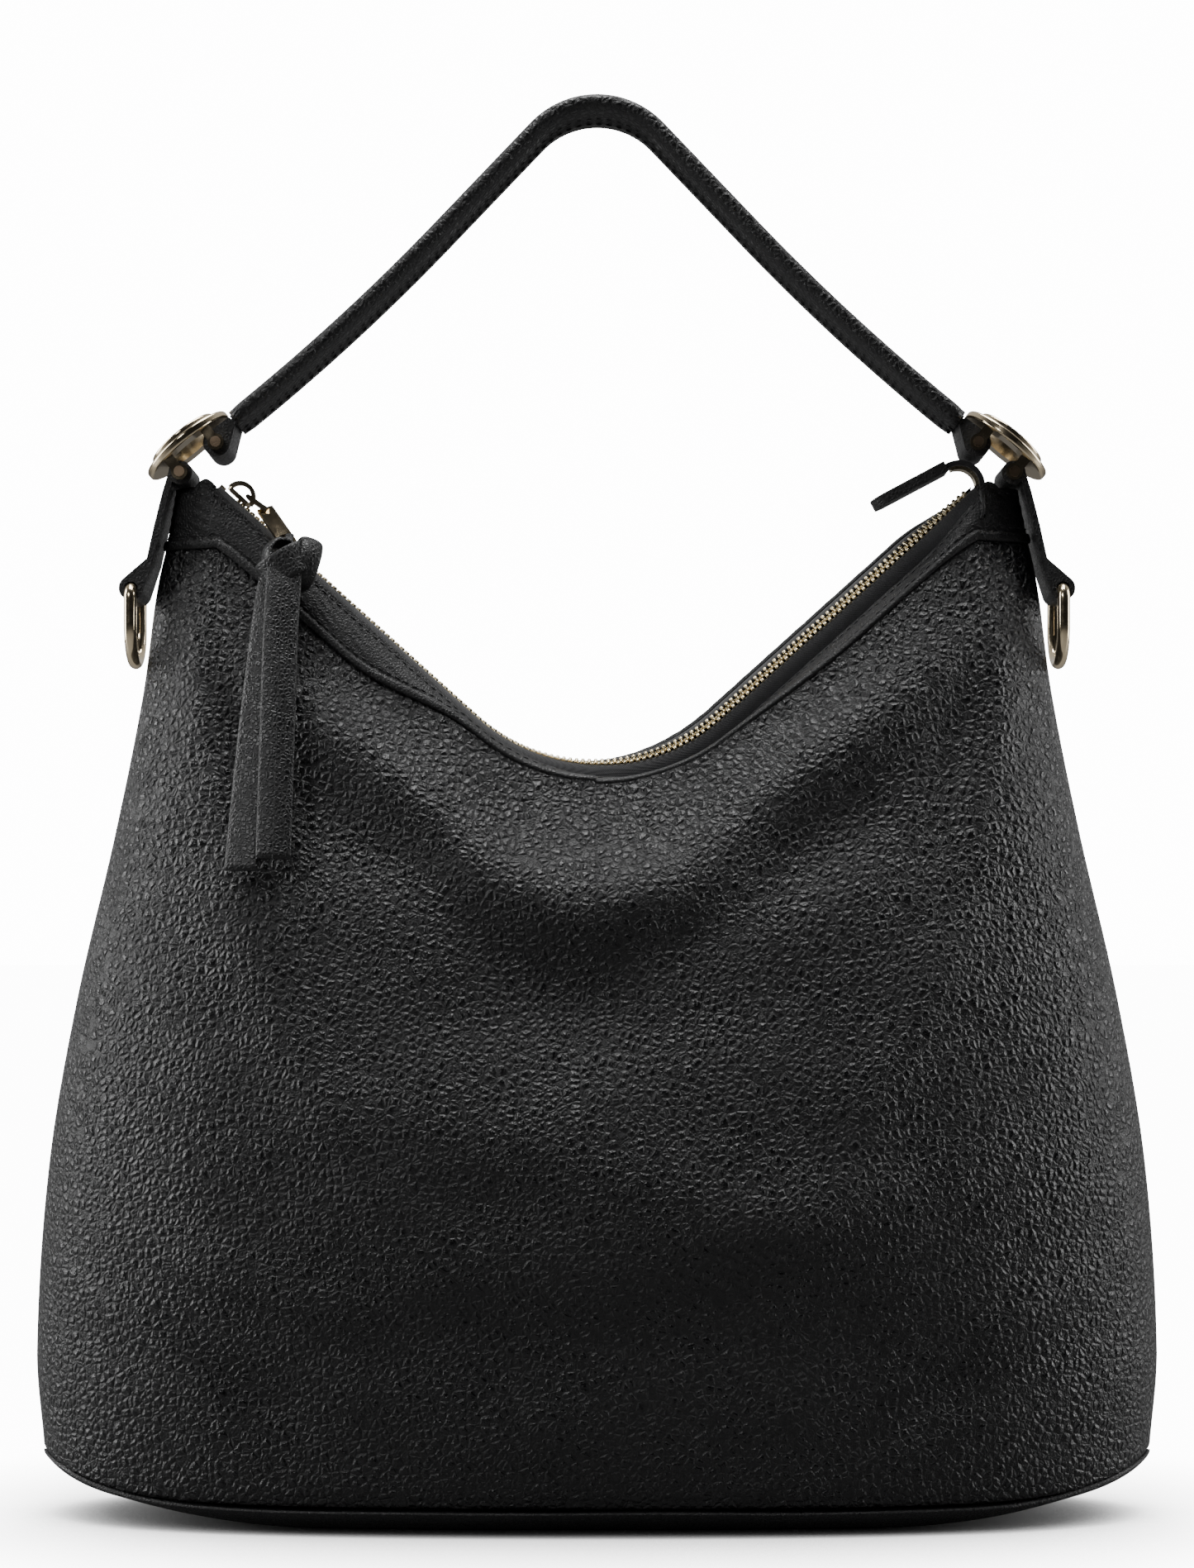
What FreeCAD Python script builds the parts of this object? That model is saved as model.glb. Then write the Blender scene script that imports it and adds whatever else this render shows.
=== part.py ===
import FreeCAD, Part
import math
import os

import Sketcher
from FreeCAD import Matrix, Placement, Rotation, Vector

# A hobo bag in its own frame: origin on the floor under the middle of the base, +X to the right,
# +Y to the back and +Z up. All sizes are in millimetres.

# ---------------------------------------------------------------- driving dimensions
DIMENSIONS = [
    ("body_width", 360.0, "widest part of the body, low down"),
    ("body_height", 329.2, "height of the two ends of the zip"),
    ("base_depth", 100.0, "front to back across the base seam"),
    ("side_taper", 44.5, "how far each side leans in from the widest part to the yoke"),
    ("belly", 7.0, "how far the front bulges between base and opening"),
    ("fullness", 0.25, "how square the plan of the body is, 0 is an ellipse"),
    ("seam_height", 9.0, "base seam above the floor at the middle"),
    ("corner_rise", 13.5, "extra height of the base seam at the corners"),
    ("base_flat", 85.0, "half-length of the base that lies flat"),
    ("base_press", 0.05, "how much of the base's round is pressed flat by the floor"),
    ("base_end_lift", 20.0, "lift of the base's underside at its ends"),
    ("base_fullness", 10.0, "power that keeps the underside flat until close to its edges"),
    ("panel_thickness", 1.6, "pebbled leather of the body"),
    ("base_thickness", 1.8, "smooth leather of the base"),
    ("board_lift", 2.2, "stiffener above the base's inside"),
    ("lining_tuck", 54.0, "how far the lining's flat bottom stops short of the sides"),
    ("band_thickness", 1.6, "smooth leather of band and yokes"),
    ("board_thickness", 1.5, "stiffener on the base"),
    ("board_depth", 74.0, "stiffener, front to back"),
    ("lining_thickness", 0.6, "cloth lining"),
    ("lining_gap", 1.0, "space between leather and lining"),
    ("seam_gap", 0.15, "space between two pieces that are sewn together"),
    ("opening_drop", 89.2, "low point of the zip below its ends"),
    ("opening_radius", 58.3, "round of the zip at its low point"),
    ("yoke_width", 14.0, "from the end of the zip to the side of the yoke"),
    ("yoke_height", 13.0, "from the top of the yoke down to its seam"),
    ("band_width", 10.0, "from the top edge of the zip band to its seam"),
    ("opening_depth", 30.0, "front to back across the band's seam"),
    ("mouth_half", 7.6, "from the middle of the zip to the band's top edge"),
    ("mouth_drop", 1.7, "band's top edge below the middle of the zip"),
    ("zip_lean", 30.0, "degrees that the zip leans to the front on its right run"),
    ("tooth_pitch", 2.09, "from one tooth to the next on one tape"),
    ("tooth_length", 1.25, "tooth along the zip"),
    ("tooth_reach", 2.2, "from the middle of the chain to the back of a tooth"),
    ("tooth_depth", 2.2, "tooth through the zip"),
    ("tooth_neck", 0.9, "from the middle of the chain to where a tooth narrows"),
    ("tooth_head", 0.55, "how far a tooth reaches past the middle of the chain"),
    ("tape_thickness", 0.6, "zip tape"),
    ("tape_drop", 2.4, "space between band and tape"),
    ("tape_reach", 0.8, "where the tape ends under the band, 1 is the band's top edge"),
    ("tape_gap", 0.75, "edge of the tape behind the teeth"),
    ("tape_flat", 2.1, "flat of each tape beside the teeth"),
    ("tape_slot", 0.75, "space over and under the tape inside the slider"),
    ("slider_length", 8.5, "zip slider along the zip"),
    ("slider_width", 6.7, "zip slider across the zip"),
    ("slider_start", 7.0, "closed slider's middle, from the end of the zip"),
    ("slider_clearance", 0.35, "space round the teeth inside the slider"),
    ("slider_wall", 1.0, "slider's shells, through"),
    ("bridge_radius", 5.0, "outside of the slider's bridge"),
    ("bridge_thickness", 1.4, "slider's bridge, through"),
    ("bridge_width", 2.2, "slider's bridge, across the zip"),
    ("pin_radius", 1.7, "pins through the rings' ears"),
    ("pin_clearance", 0.08, "radial running clearance of a leather loop on its pin"),
    ("sway_clearance", 0.75, "the same, at the pivot that closes the linkage"),
    ("ear_clearance", 0.02, "radial clearance of a pin in the ears that hold it"),
    ("pin_spread", 14.9, "between a ring's two pins"),
    ("ring_tilt", 39.3, "degrees of a ring's plane above the horizontal"),
    ("ring_radius", 16.0, "outside of the ring"),
    ("ring_bore", 8.5, "inside of the ring"),
    ("ring_thickness", 2.6, "plate of the ring"),
    ("step_radius", 12.2, "outside of the raised step on the ring"),
    ("step_height", 2.2, "height of the raised step"),
    ("ear_drop", 5.7, "pin's axis below the ring's back face"),
    ("ear_inner", 10.6, "inner face of an ear from the middle plane"),
    ("ear_thickness", 2.2, "an ear"),
    ("eye_radius", 2.6, "round end of an ear"),
    ("strap_width", 20.0, "side straps and handle tabs"),
    ("strap_thickness", 2.0, "leather of the side straps"),
    ("tab_thickness", 2.6, "leather of the handle tabs"),
    ("strap_drop", 36.8, "from the ring's pin down to the D-ring's bar"),
    ("dring_radius", 11.5, "bend of the D-ring, to the middle of its wire"),
    ("dring_clearance", 2.0, "loop of the strap outside the body's side"),
    ("dring_leg", 11.5, "straight side of the D-ring"),
    ("dring_wire", 2.0, "radius of the D-ring's wire"),
    ("handle_rise", 111.6, "top of the handle above the upper pins"),
    ("handle_width", 28.0, "handle, front to back"),
    ("handle_thickness", 6.4, "handle, through"),
    ("cover_thickness", 1.6, "leather round the handle"),
    ("core_clearance", 0.2, "space round the handle's core"),
    ("apex_radius", 30.0, "outside bend at the top of the handle"),
    ("leg_radius", 690.0, "slow bend of the handle's legs"),
    ("leg_turn", 7.5, "degrees that each leg turns outwards"),
    ("handle_end_inset", 5.4, "end of the handle inside its pin"),
    ("handle_end_lift", 7.8, "end of the handle above its pin"),
    ("pull_width", 5.2, "zip pull's bar"),
    ("pull_thickness", 1.5, "zip pull's bar, through"),
    ("pull_eye", 6.0, "zip pull's eye, along it"),
    ("pull_length", 21.6, "zip pull's bar, along it"),
    ("pull_cross", 1.6, "bar across the end of the pull's eye"),
    ("pull_slot", 4.3, "slot for the thong, along the pull"),
    ("pull_strip", 1.1, "metal round the slot"),
    ("loop_radius", 3.0, "thong's loop through the slot, to its middle"),
    ("knot_radius", 8.5, "knot of the thong"),
    ("thong_width", 9.2, "leather thong, flat"),
    ("thong_thickness", 1.6, "leather thong, through"),
    ("front_tail", 88.0, "the thong's front tail below the knot"),
    ("rear_tail", 94.0, "the thong's rear tail below the knot"),
    ("tail_radius", 7.5, "curl of the loose end of the zip"),
    ("tail_width", 8.6, "loose end of the zip, across"),
    ("tail_thickness", 1.6, "loose end of the zip, through"),
    ("tail_sweep", 118.0, "degrees that the loose end curls round"),
    ("tail_tab_length", 26.0, "leather tab on the loose end of the zip"),
]

SIDES = (("left", -1), ("right", 1))
FACES = (("front", -1), ("back", 1))
COLUMNS = 32          # steps across a leather surface
ROWS = 10             # steps up a leather surface
BIG = 60.0            # longer than any piece that is cut

doc = FreeCAD.newDocument("hobo_bag")
sheet = doc.addObject("Spreadsheet::Sheet", "Dimensions")
for row, (alias, value, meaning) in enumerate(DIMENSIONS, start=1):
    sheet.set("A%d" % row, str(value))
    sheet.setAlias("A%d" % row, alias)
    sheet.set("B%d" % row, meaning)
doc.recompute()
NODES = []


def dim(alias):
    """A driving dimension, read from the sheet."""
    return float(sheet.get(alias))


# ---------------------------------------------------------------- small geometry helpers
def blend(a, b, share):
    return a + (b - a) * share


def smooth_curve(points, x):
    """A smooth curve through a few (x, y) points, flat in its slope only where the points are."""
    last = len(points) - 1
    i = 0
    while i < last - 1 and x > points[i + 1][0]:
        i += 1
    x0, y0 = points[i]
    x1, y1 = points[i + 1]
    width = x1 - x0

    def slope(k):
        low, high = max(k - 1, 0), min(k + 1, last)
        return (points[high][1] - points[low][1]) / (points[high][0] - points[low][0])

    share = (x - x0) / width
    square, cube = share * share, share ** 3
    return ((2 * cube - 3 * square + 1) * y0 + (cube - 2 * square + share) * width * slope(i)
            + (3 * square - 2 * cube) * y1 + (cube - square) * width * slope(i + 1))


def ease(share):
    """Rises smoothly from 0 to 1 as share does."""
    held = min(max(share, 0.0), 1.0)
    return held * held * (3 - 2 * held)


def bisect(function, low, high):
    """Where a rising function crosses zero."""
    for _ in range(80):
        middle = (low + high) / 2
        if function(middle) < 0:
            low = middle
        else:
            high = middle
    return (low + high) / 2


def turned(x_axis, y_axis, z_axis, origin):
    """A placement from three axes and an origin."""
    matrix = Matrix(x_axis.x, y_axis.x, z_axis.x, origin.x,
                    x_axis.y, y_axis.y, z_axis.y, origin.y,
                    x_axis.z, y_axis.z, z_axis.z, origin.z, 0, 0, 0, 1)
    return Placement(matrix)


def node(thing, name):
    """Makes a document object the sub-part of that name."""
    thing.Label = name
    NODES.append(thing)
    return thing


def feature(name, shape):
    """A sub-part whose shape is made with Part's own functions."""
    thing = doc.addObject("Part::Feature", name)
    thing.Shape = shape
    thing.Placement = shape.Placement
    return node(thing, name)


# ---------------------------------------------------------------- outline of the bag
half_width = dim("body_width") / 2
top_half = half_width - dim("side_taper")
zip_end_x = top_half - dim("yoke_width")
zip_end_z = dim("body_height")
low_z = zip_end_z - dim("opening_drop")
corner_z = dim("seam_height") + dim("corner_rise")
yoke_top = zip_end_z - 0.5
yoke_seam = yoke_top - dim("yoke_height")
opening_radius = dim("opening_radius")

# The slope of the zip's straight runs follows from its ends, its low point and its round.
reach = math.hypot(zip_end_x, opening_radius - dim("opening_drop"))
slope = (math.asin(opening_radius / reach)
         - math.atan2(opening_radius - dim("opening_drop"), zip_end_x))
round_x = opening_radius * math.sin(slope)
run_length = (zip_end_x - round_x) / math.cos(slope)
round_length = 2 * opening_radius * slope
zip_length = 2 * run_length + round_length

# Share of the side taper left at each share of the height, from the base's corner to the yoke.
SIDE_OUTLINE = [(0.0, 0.95), (0.1, 1.0), (0.3, 0.91), (0.475, 0.71), (0.65, 0.44), (0.80, 0.24),
                (0.92, 0.13), (1.0, 0.0)]


def half_width_at(z):
    share = (z - corner_z) / (yoke_top - corner_z)
    return top_half + (half_width - top_half) * smooth_curve(SIDE_OUTLINE, min(max(share, 0), 1))


def plan_depth(angle):
    """Share of the depth at an angle across the body, 0 in the middle and 90 degrees at a side."""
    return math.cos(angle) * (1 + dim("fullness") * math.sin(angle) ** 2)


def base_seam_z(angle):
    return dim("seam_height") + dim("corner_rise") * abs(math.sin(angle)) ** 9


def zip_height(x):
    """Height of the zip's middle line over x."""
    distance = abs(x)
    if distance < round_x:
        return low_z + opening_radius - math.sqrt(opening_radius ** 2 - distance ** 2)
    return zip_end_z - (zip_end_x - distance) * math.tan(slope)


def zip_frame(along):
    """Point, direction, upward normal and lean of the zip at a length from its left end."""
    if along < run_length:
        angle = -slope
        point = Vector(-zip_end_x + along * math.cos(slope), 0,
                       zip_end_z - along * math.sin(slope))
    elif along < run_length + round_length:
        angle = -slope + (along - run_length) / opening_radius
        point = Vector(opening_radius * math.sin(angle), 0,
                       low_z + opening_radius * (1 - math.cos(angle)))
    else:
        angle = slope
        rest = along - run_length - round_length
        point = Vector(round_x + rest * math.cos(slope), 0,
                       zip_end_z - (zip_end_x - round_x - rest * math.cos(slope)) * math.tan(slope))
    lean = math.radians(dim("zip_lean")) * (ease((along - run_length) / round_length)
                                            - 0.75 * ease((along - zip_length) / 30.0 + 1))
    forward = Vector(math.cos(angle), 0, math.sin(angle))
    up = Vector(-math.sin(angle), 0, math.cos(angle))
    across = Vector(0, 1, 0) * math.cos(lean) + up * math.sin(lean)
    out = Vector(0, -1, 0) * math.sin(lean) + up * math.cos(lean)
    return point, forward, across, out


def length_at(x):
    """Length along the zip to the place over x."""
    distance = abs(x)
    if distance < round_x:
        half = opening_radius * math.asin(distance / opening_radius)
    else:
        half = round_length / 2 + (distance - round_x) / math.cos(slope)
    return zip_length / 2 + math.copysign(half, x)


def seam_point(angle, side):
    """The band's lower seam, where the body panel ends."""
    x = half_width_at(yoke_seam) * math.sin(angle)
    knee = zip_end_x - 4.0
    z = zip_height(min(abs(x), zip_end_x)) - dim("band_width") / math.cos(slope * min(abs(x) / round_x, 1))
    level = yoke_seam
    soft = 5.0
    z = level - soft * math.log(1 + math.exp((level - z) / soft))
    if abs(x) > knee:
        z = min(z, level)
    return Vector(x, side * plan_depth(angle) * dim("opening_depth") / 2, z)


def panel_depth(height):
    """Half the body's depth in the middle at a share of the panel's height."""
    bottom, top = dim("base_depth") / 2, dim("opening_depth") / 2
    return (top + (bottom - top) * (1 - max(height, 0.0) ** 2.5)
            + dim("belly") * math.sin(math.pi * height))


def panel_point(angle, height, side):
    seam = seam_point(angle, side)
    side_z = blend(corner_z, yoke_seam, height)
    z = blend(base_seam_z(angle), seam.z, height)
    return Vector(half_width_at(side_z) * math.sin(angle),
                  side * plan_depth(angle) * panel_depth(height), z)


def band_top(angle, side):
    """The band's and the yoke's top edge."""
    x = (top_half - 0.2) * math.sin(angle)
    if abs(x) < zip_end_x:
        point, forward, across, out = zip_frame(length_at(x))
        return point + across * (side * dim("mouth_half")) - out * dim("mouth_drop")
    share = (abs(x) - zip_end_x) / (top_half - zip_end_x)
    point, forward, across, out = zip_frame(length_at(math.copysign(zip_end_x, x)))
    edge = across * (side * dim("mouth_half")) - out * dim("mouth_drop")
    rise = 2.5 * math.sin(math.pi * min(share * 2, 1)) - 1.5 * share
    return Vector(x, edge.y * math.sqrt(max(1 - share * share, 0)),
                  point.z + edge.z * (1 - share) ** 2 + rise)


def band_point(angle, height, side):
    low, high = seam_point(angle, side), band_top(angle, side)
    point = low + (high - low) * height
    crown = 1.2 * math.sin(math.pi * height) * abs(math.cos(angle)) ** 0.5
    return point + Vector(0, side * crown, 0)


def base_point(angle, across):
    """The base's underside: flat in the middle, turned up along its edge and at its ends."""
    x = half_width_at(corner_z) * math.sin(angle)
    lift = dim("base_end_lift") * (max(abs(x) - dim("base_flat"), 0)
                                   / (half_width - dim("base_flat"))) ** 2
    edge = base_seam_z(angle) - dim("base_thickness") - dim("seam_gap")
    return Vector(x, across * plan_depth(angle) * dim("base_depth") / 2,
                  lift + (edge - lift) * abs(across) ** dim("base_fullness") - dim("base_press"))


# ---------------------------------------------------------------- thin leather and cloth
def surface_normal(point_at, a, b):
    step = 1e-3
    along = point_at(a + step, b) - point_at(a - step, b)
    across = point_at(a, b + step) - point_at(a, b - step)
    normal = along.cross(across)
    return normal.normalize()


def grid_face(rows):
    surface = Part.BSplineSurface()
    surface.interpolate(rows)
    return surface


def skin(point_at, a_values, b_values, thickness, inward, trim=None):
    """A thin closed solid: the surface, its offset, and the four edges between them."""
    outer, inner = [], []
    for a in a_values:
        outer_row, inner_row = [], []
        for b in b_values:
            point = point_at(a, b)
            normal = surface_normal(point_at, a, b)
            if normal.dot(inward(point)) < 0:
                normal = normal * -1
            moved = point + normal * thickness
            if trim:
                point, moved = trim(point, moved)
            outer_row.append(point)
            inner_row.append(moved)
        outer.append(outer_row)
        inner.append(inner_row)
    first, second = grid_face(outer), grid_face(inner)
    faces = [first.toShape(), second.toShape()]
    u0, u1, v0, v1 = first.bounds()
    for cut, value in (("uIso", u0), ("uIso", u1), ("vIso", v0), ("vIso", v1)):
        pair = [getattr(surface, cut)(value).toShape() for surface in (first, second)]
        faces.append(Part.makeRuledSurface(pair[0], pair[1]))
    shell = Part.makeShell(faces)
    shell.sewShape()
    solid = Part.makeSolid(Part.Shell(shell.Faces))
    if solid.Volume < 0:
        solid.reverse()
    return solid


def spread(low, high, count):
    return [blend(low, high, i / count) for i in range(count + 1)]


ANGLES = [math.radians(value) for value in spread(-89.9, 89.9, COLUMNS)]


def keep_to_side(side):
    """Keeps both skins of a piece on its own side of the middle plane."""
    gap = dim("seam_gap") / 2

    def trim(point, moved):
        return [Vector(p.x, side * max(side * p.y, 0) + side * gap, p.z) for p in (point, moved)]

    return trim


def towards_middle(point):
    return Vector(-point.x * 0.3, -point.y, -0.001)


def leather_panels():
    for name, side in FACES:
        feature(name + "_panel", skin(lambda a, b: panel_point(a, b, side), ANGLES,
                                      spread(0.0, 0.995, ROWS), dim("panel_thickness"),
                                      towards_middle, keep_to_side(side)))
    for name, side in FACES:
        feature("zip_band_" + name, skin(lambda a, b: band_point(a, b, side), ANGLES,
                                         spread(0.02, 1.0, 4), dim("band_thickness"),
                                         lambda p: Vector(0, -side, -0.8), keep_to_side(side)))
    across = [math.sin(math.radians(value)) for value in spread(-90, 90, 16)]
    angles = [math.radians(value) for value in spread(-86, 86, COLUMNS)]
    sole = skin(base_point, angles, across, dim("base_thickness"), lambda p: Vector(0, 0, 1))
    under = Part.makeBox(dim("body_width"), dim("base_depth"), BIG,
                         Vector(-half_width, -dim("base_depth") / 2, -BIG))
    feature("base_panel", sole.cut(under))


def base_board():
    """A flat stiffener with round corners, on the flat of the base."""
    body = doc.addObject("PartDesign::Body", "base_board_body")
    outline = sketch_on(body, "XY_Plane", "board_outline")
    rectangle(outline, "2 * Dimensions.base_flat + 20", "Dimensions.board_depth")
    pad(body, outline, "Dimensions.board_thickness")
    corners = [edge for edge in vertical_edges(body)]
    fillet(body, corners, "12")
    body.Placement = Placement(Vector(0, 0, dim("base_thickness") + dim("board_lift")), Rotation())
    node(body, "base_board")


def lining():
    """The cloth bag inside, open at the top and closed by a flat bottom."""
    gap = dim("panel_thickness") + dim("lining_gap")
    floor = dim("base_thickness") + dim("board_lift") + dim("board_thickness") + 0.5

    def cloth_point(angle, height, side, inset):
        lowest = 0.05
        at = blend(lowest, 0.96, height)
        point = panel_point(angle, at, side)
        close = min(height / 0.12, 1.0)
        tuck = (1 - close) ** 2
        sideways = 1 - (gap + inset + dim("lining_tuck") * tuck) / half_width
        inwards = panel_depth(at)
        depth = 1 - (gap * 1.4 + inset + 7 * tuck) / inwards
        low = floor + inset
        z = blend(low, point.z, min(height / 0.12, 1.0)) if height < 0.12 else point.z
        return Vector(point.x * sideways, point.y * depth, z)

    faces, rims = [], []
    for inset in (0.0, dim("lining_thickness")):
        bottom = []
        for name, side in FACES:
            heights = [0.0, 0.04, 0.08, 0.12] + spread(0.2, 1.0, 8)
            rows = [[cloth_point(a, b, side, inset) for b in heights] for a in LINING_ANGLES]
            surface = grid_face(rows)
            u0, u1, v0, v1 = surface.bounds()
            faces.append(surface.toShape())
            bottom.append(surface.vIso(v0).toShape())
            rims.append(surface.vIso(v1).toShape())
        faces.append(Part.Face(Part.Wire(bottom)))
    for front_or_back in (0, 1):
        faces.append(Part.makeRuledSurface(rims[front_or_back], rims[front_or_back + 2]))
    shell = Part.makeShell(faces)
    shell.sewShape()
    solid = Part.makeSolid(Part.Shell(shell.Faces))
    if solid.Volume < 0:
        solid.reverse()
    feature("lining", solid)


LINING_ANGLES = [math.radians(value) for value in spread(-90, 90, 24)]


# ---------------------------------------------------------------- sketches and bodies
def plane_of(body, role):
    for thing in body.Origin.OriginFeatures:
        if thing.Role == role:
            return thing
    raise ValueError(role)


def sketch_on(body, role, name):
    sketch = body.newObject("Sketcher::SketchObject", name)
    sketch.AttachmentSupport = [(plane_of(body, role), "")]
    sketch.MapMode = "FlatFace"
    return sketch


def bind(sketch, index, expression):
    name = "size_%d" % index
    sketch.renameConstraint(index, name)
    sketch.setExpression("Constraints." + name, expression)


def circle(sketch, radius, x="0", y="0"):
    """A circle whose radius and centre follow expressions."""
    centre = Vector(evaluate(x), evaluate(y), 0)
    geometry = sketch.addGeometry(Part.Circle(centre, Vector(0, 0, 1), evaluate(radius)), False)
    bind(sketch, sketch.addConstraint(
        Sketcher.Constraint("Radius", geometry, evaluate(radius))), radius)
    place(sketch, geometry, 3, x, y)


def place(sketch, geometry, point, x, y):
    """Ties a point of the sketch to two expressions."""
    for kind, expression in (("DistanceX", x), ("DistanceY", y)):
        index = sketch.addConstraint(Sketcher.Constraint(
            kind, -1, 1, geometry, point, evaluate(expression)))
        bind(sketch, index, expression)


def polygon(sketch, corners):
    """A closed outline whose corners follow expressions."""
    points = [Vector(evaluate(x), evaluate(y), 0) for x, y in corners]
    first = None
    for i, point in enumerate(points):
        following = points[(i + 1) % len(points)]
        line = sketch.addGeometry(Part.LineSegment(point, following), False)
        first = line if first is None else first
    count = len(points)
    for i in range(count):
        sketch.addConstraint(Sketcher.Constraint(
            "Coincident", first + i, 2, first + (i + 1) % count, 1))
    for i, (x, y) in enumerate(corners):
        place(sketch, first + i, 1, x, y)


def rectangle(sketch, width, height, x="0", y="0"):
    low_x, high_x = "%s - (%s) / 2" % (x, width), "%s + (%s) / 2" % (x, width)
    low_y, high_y = "%s - (%s) / 2" % (y, height), "%s + (%s) / 2" % (y, height)
    polygon(sketch, [(low_x, low_y), (high_x, low_y), (high_x, high_y), (low_x, high_y)])


def evaluate(expression):
    """The value of a sheet expression, in millimetres."""
    value = sheet.evalExpression(expression.replace("Dimensions.", ""))
    return float(value.Value if hasattr(value, "Value") else value)


def pad(body, sketch, length, midplane=False, reverse=False):
    made = body.newObject("PartDesign::Pad", sketch.Name + "_pad")
    made.Profile = sketch
    made.setExpression("Length", length)
    made.Midplane = midplane
    made.Reversed = reverse
    doc.recompute()
    return made


def pocket(body, sketch, length, midplane=False, reverse=False):
    before = body.Shape.Volume
    made = body.newObject("PartDesign::Pocket", sketch.Name + "_pocket")
    made.Profile = sketch
    made.setExpression("Length", length)
    made.Midplane = midplane
    made.Reversed = reverse
    doc.recompute()
    if body.Shape.Volume > before - 1e-3:
        raise RuntimeError("nothing was cut by " + made.Name)
    return made


def fillet(body, edges, radius):
    made = body.newObject("PartDesign::Fillet", body.Name + "_fillet%d" % len(body.Group))
    made.Base = (body.Group[-2], edges)
    made.setExpression("Radius", radius)
    doc.recompute()
    return made


def edges_where(body, test):
    return ["Edge%d" % (i + 1) for i, edge in enumerate(body.Tip.Shape.Edges) if test(edge)]


def vertical_edges(body):
    def is_vertical(edge):
        ends = [vertex.Point for vertex in edge.Vertexes]
        return (len(ends) == 2 and abs(ends[0].x - ends[1].x) < 1e-6
                and abs(ends[0].y - ends[1].y) < 1e-6)

    return edges_where(body, is_vertical)


def round_edges(body, radius):
    """The circular edges of one radius."""
    return edges_where(body, lambda edge: hasattr(edge.Curve, "Radius")
                       and abs(edge.Curve.Radius - radius) < 1e-4)


# ---------------------------------------------------------------- the zip
def zip_tapes():
    """Each tape runs from beside the teeth down under the band."""
    lengths = spread(0.5, zip_length - 0.5, 44)
    for name, side in FACES:
        def tape_point(along, share, side=side):
            point, forward, across, out = zip_frame(along)
            lift = out * (dim("tape_thickness") / 2)
            beside = point + across * (side * (dim("tooth_reach") + dim("tape_gap"))) + lift
            tilt = abs(across.z)
            fold = (beside + across * (side * dim("tape_flat") * (1 - tilt))
                    - out * (tilt * dim("tape_drop")))
            angle = math.asin(point.x / (top_half - 0.2))
            fall = band_point(angle, 0.95, side) - band_point(angle, 0.65, side)
            inside = Vector(0, -side * abs(fall.z), -abs(fall.y)).normalize()
            under = (band_point(angle, dim("tape_reach"), side)
                     + inside * (dim("band_thickness") + dim("tape_drop")))
            rest = 1 - share
            return beside * (rest * rest) + fold * (2 * rest * share) + under * (share * share)

        feature("zip_tape_" + name, skin(tape_point, lengths,
                                         spread(0.0, 1.0, 6),
                                         dim("tape_thickness"),
                                         lambda p, side=side: Vector(0, -side * 0.8, -0.9)))


def tooth(side):
    """One tooth, its narrower head past the middle of the chain and its foot on the tape."""
    length, reach, depth = dim("tooth_length"), dim("tooth_reach"), dim("tooth_depth")
    neck = dim("tooth_neck")
    foot = Part.makeBox(length, reach - neck, depth,
                        Vector(-length / 2, neck if side > 0 else -reach, -depth / 2))
    head_length, head_depth = length * 0.72, depth * 0.8
    head = dim("tooth_head")
    tip = Part.makeBox(head_length, neck + head, head_depth,
                       Vector(-head_length / 2, -head if side > 0 else -neck, -head_depth / 2))
    return foot.fuse(tip)


def zip_teeth():
    """Two rows of teeth, half a pitch apart, from the slider's end of the zip to the yoke."""
    start = dim("slider_start") + 1.0
    count = int((zip_length - 2.0 - start) / dim("tooth_pitch"))
    for name, side in FACES:
        made = []
        shape = tooth(side)
        for i in range(count):
            along = start + (i + (0.5 if side > 0 else 0.0)) * dim("tooth_pitch")
            point, forward, across, out = zip_frame(along)
            made.append(shape.transformed(turned(forward, across, out, point).toMatrix()))
        feature("zip_teeth_" + name, Part.makeCompound(made))


def zip_stops():
    """Two small blocks clamped on the tapes where the slider stops."""
    stops = []
    point, forward, across, out = zip_frame(1.0)
    length, inner, outer, depth = 1.5, 0.5, 2.1, 2.0
    for name, side in FACES:
        low = inner if side > 0 else -outer
        block = Part.makeBox(length, outer - inner, depth, Vector(-length / 2, low, -depth / 2))
        stops.append(block.transformed(turned(forward, across, out, point).toMatrix()))
    feature("zip_top_stops", Part.makeCompound(stops))


def slider_placement():
    point, forward, across, out = zip_frame(dim("slider_start"))
    return turned(forward, across, out, point)


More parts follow.
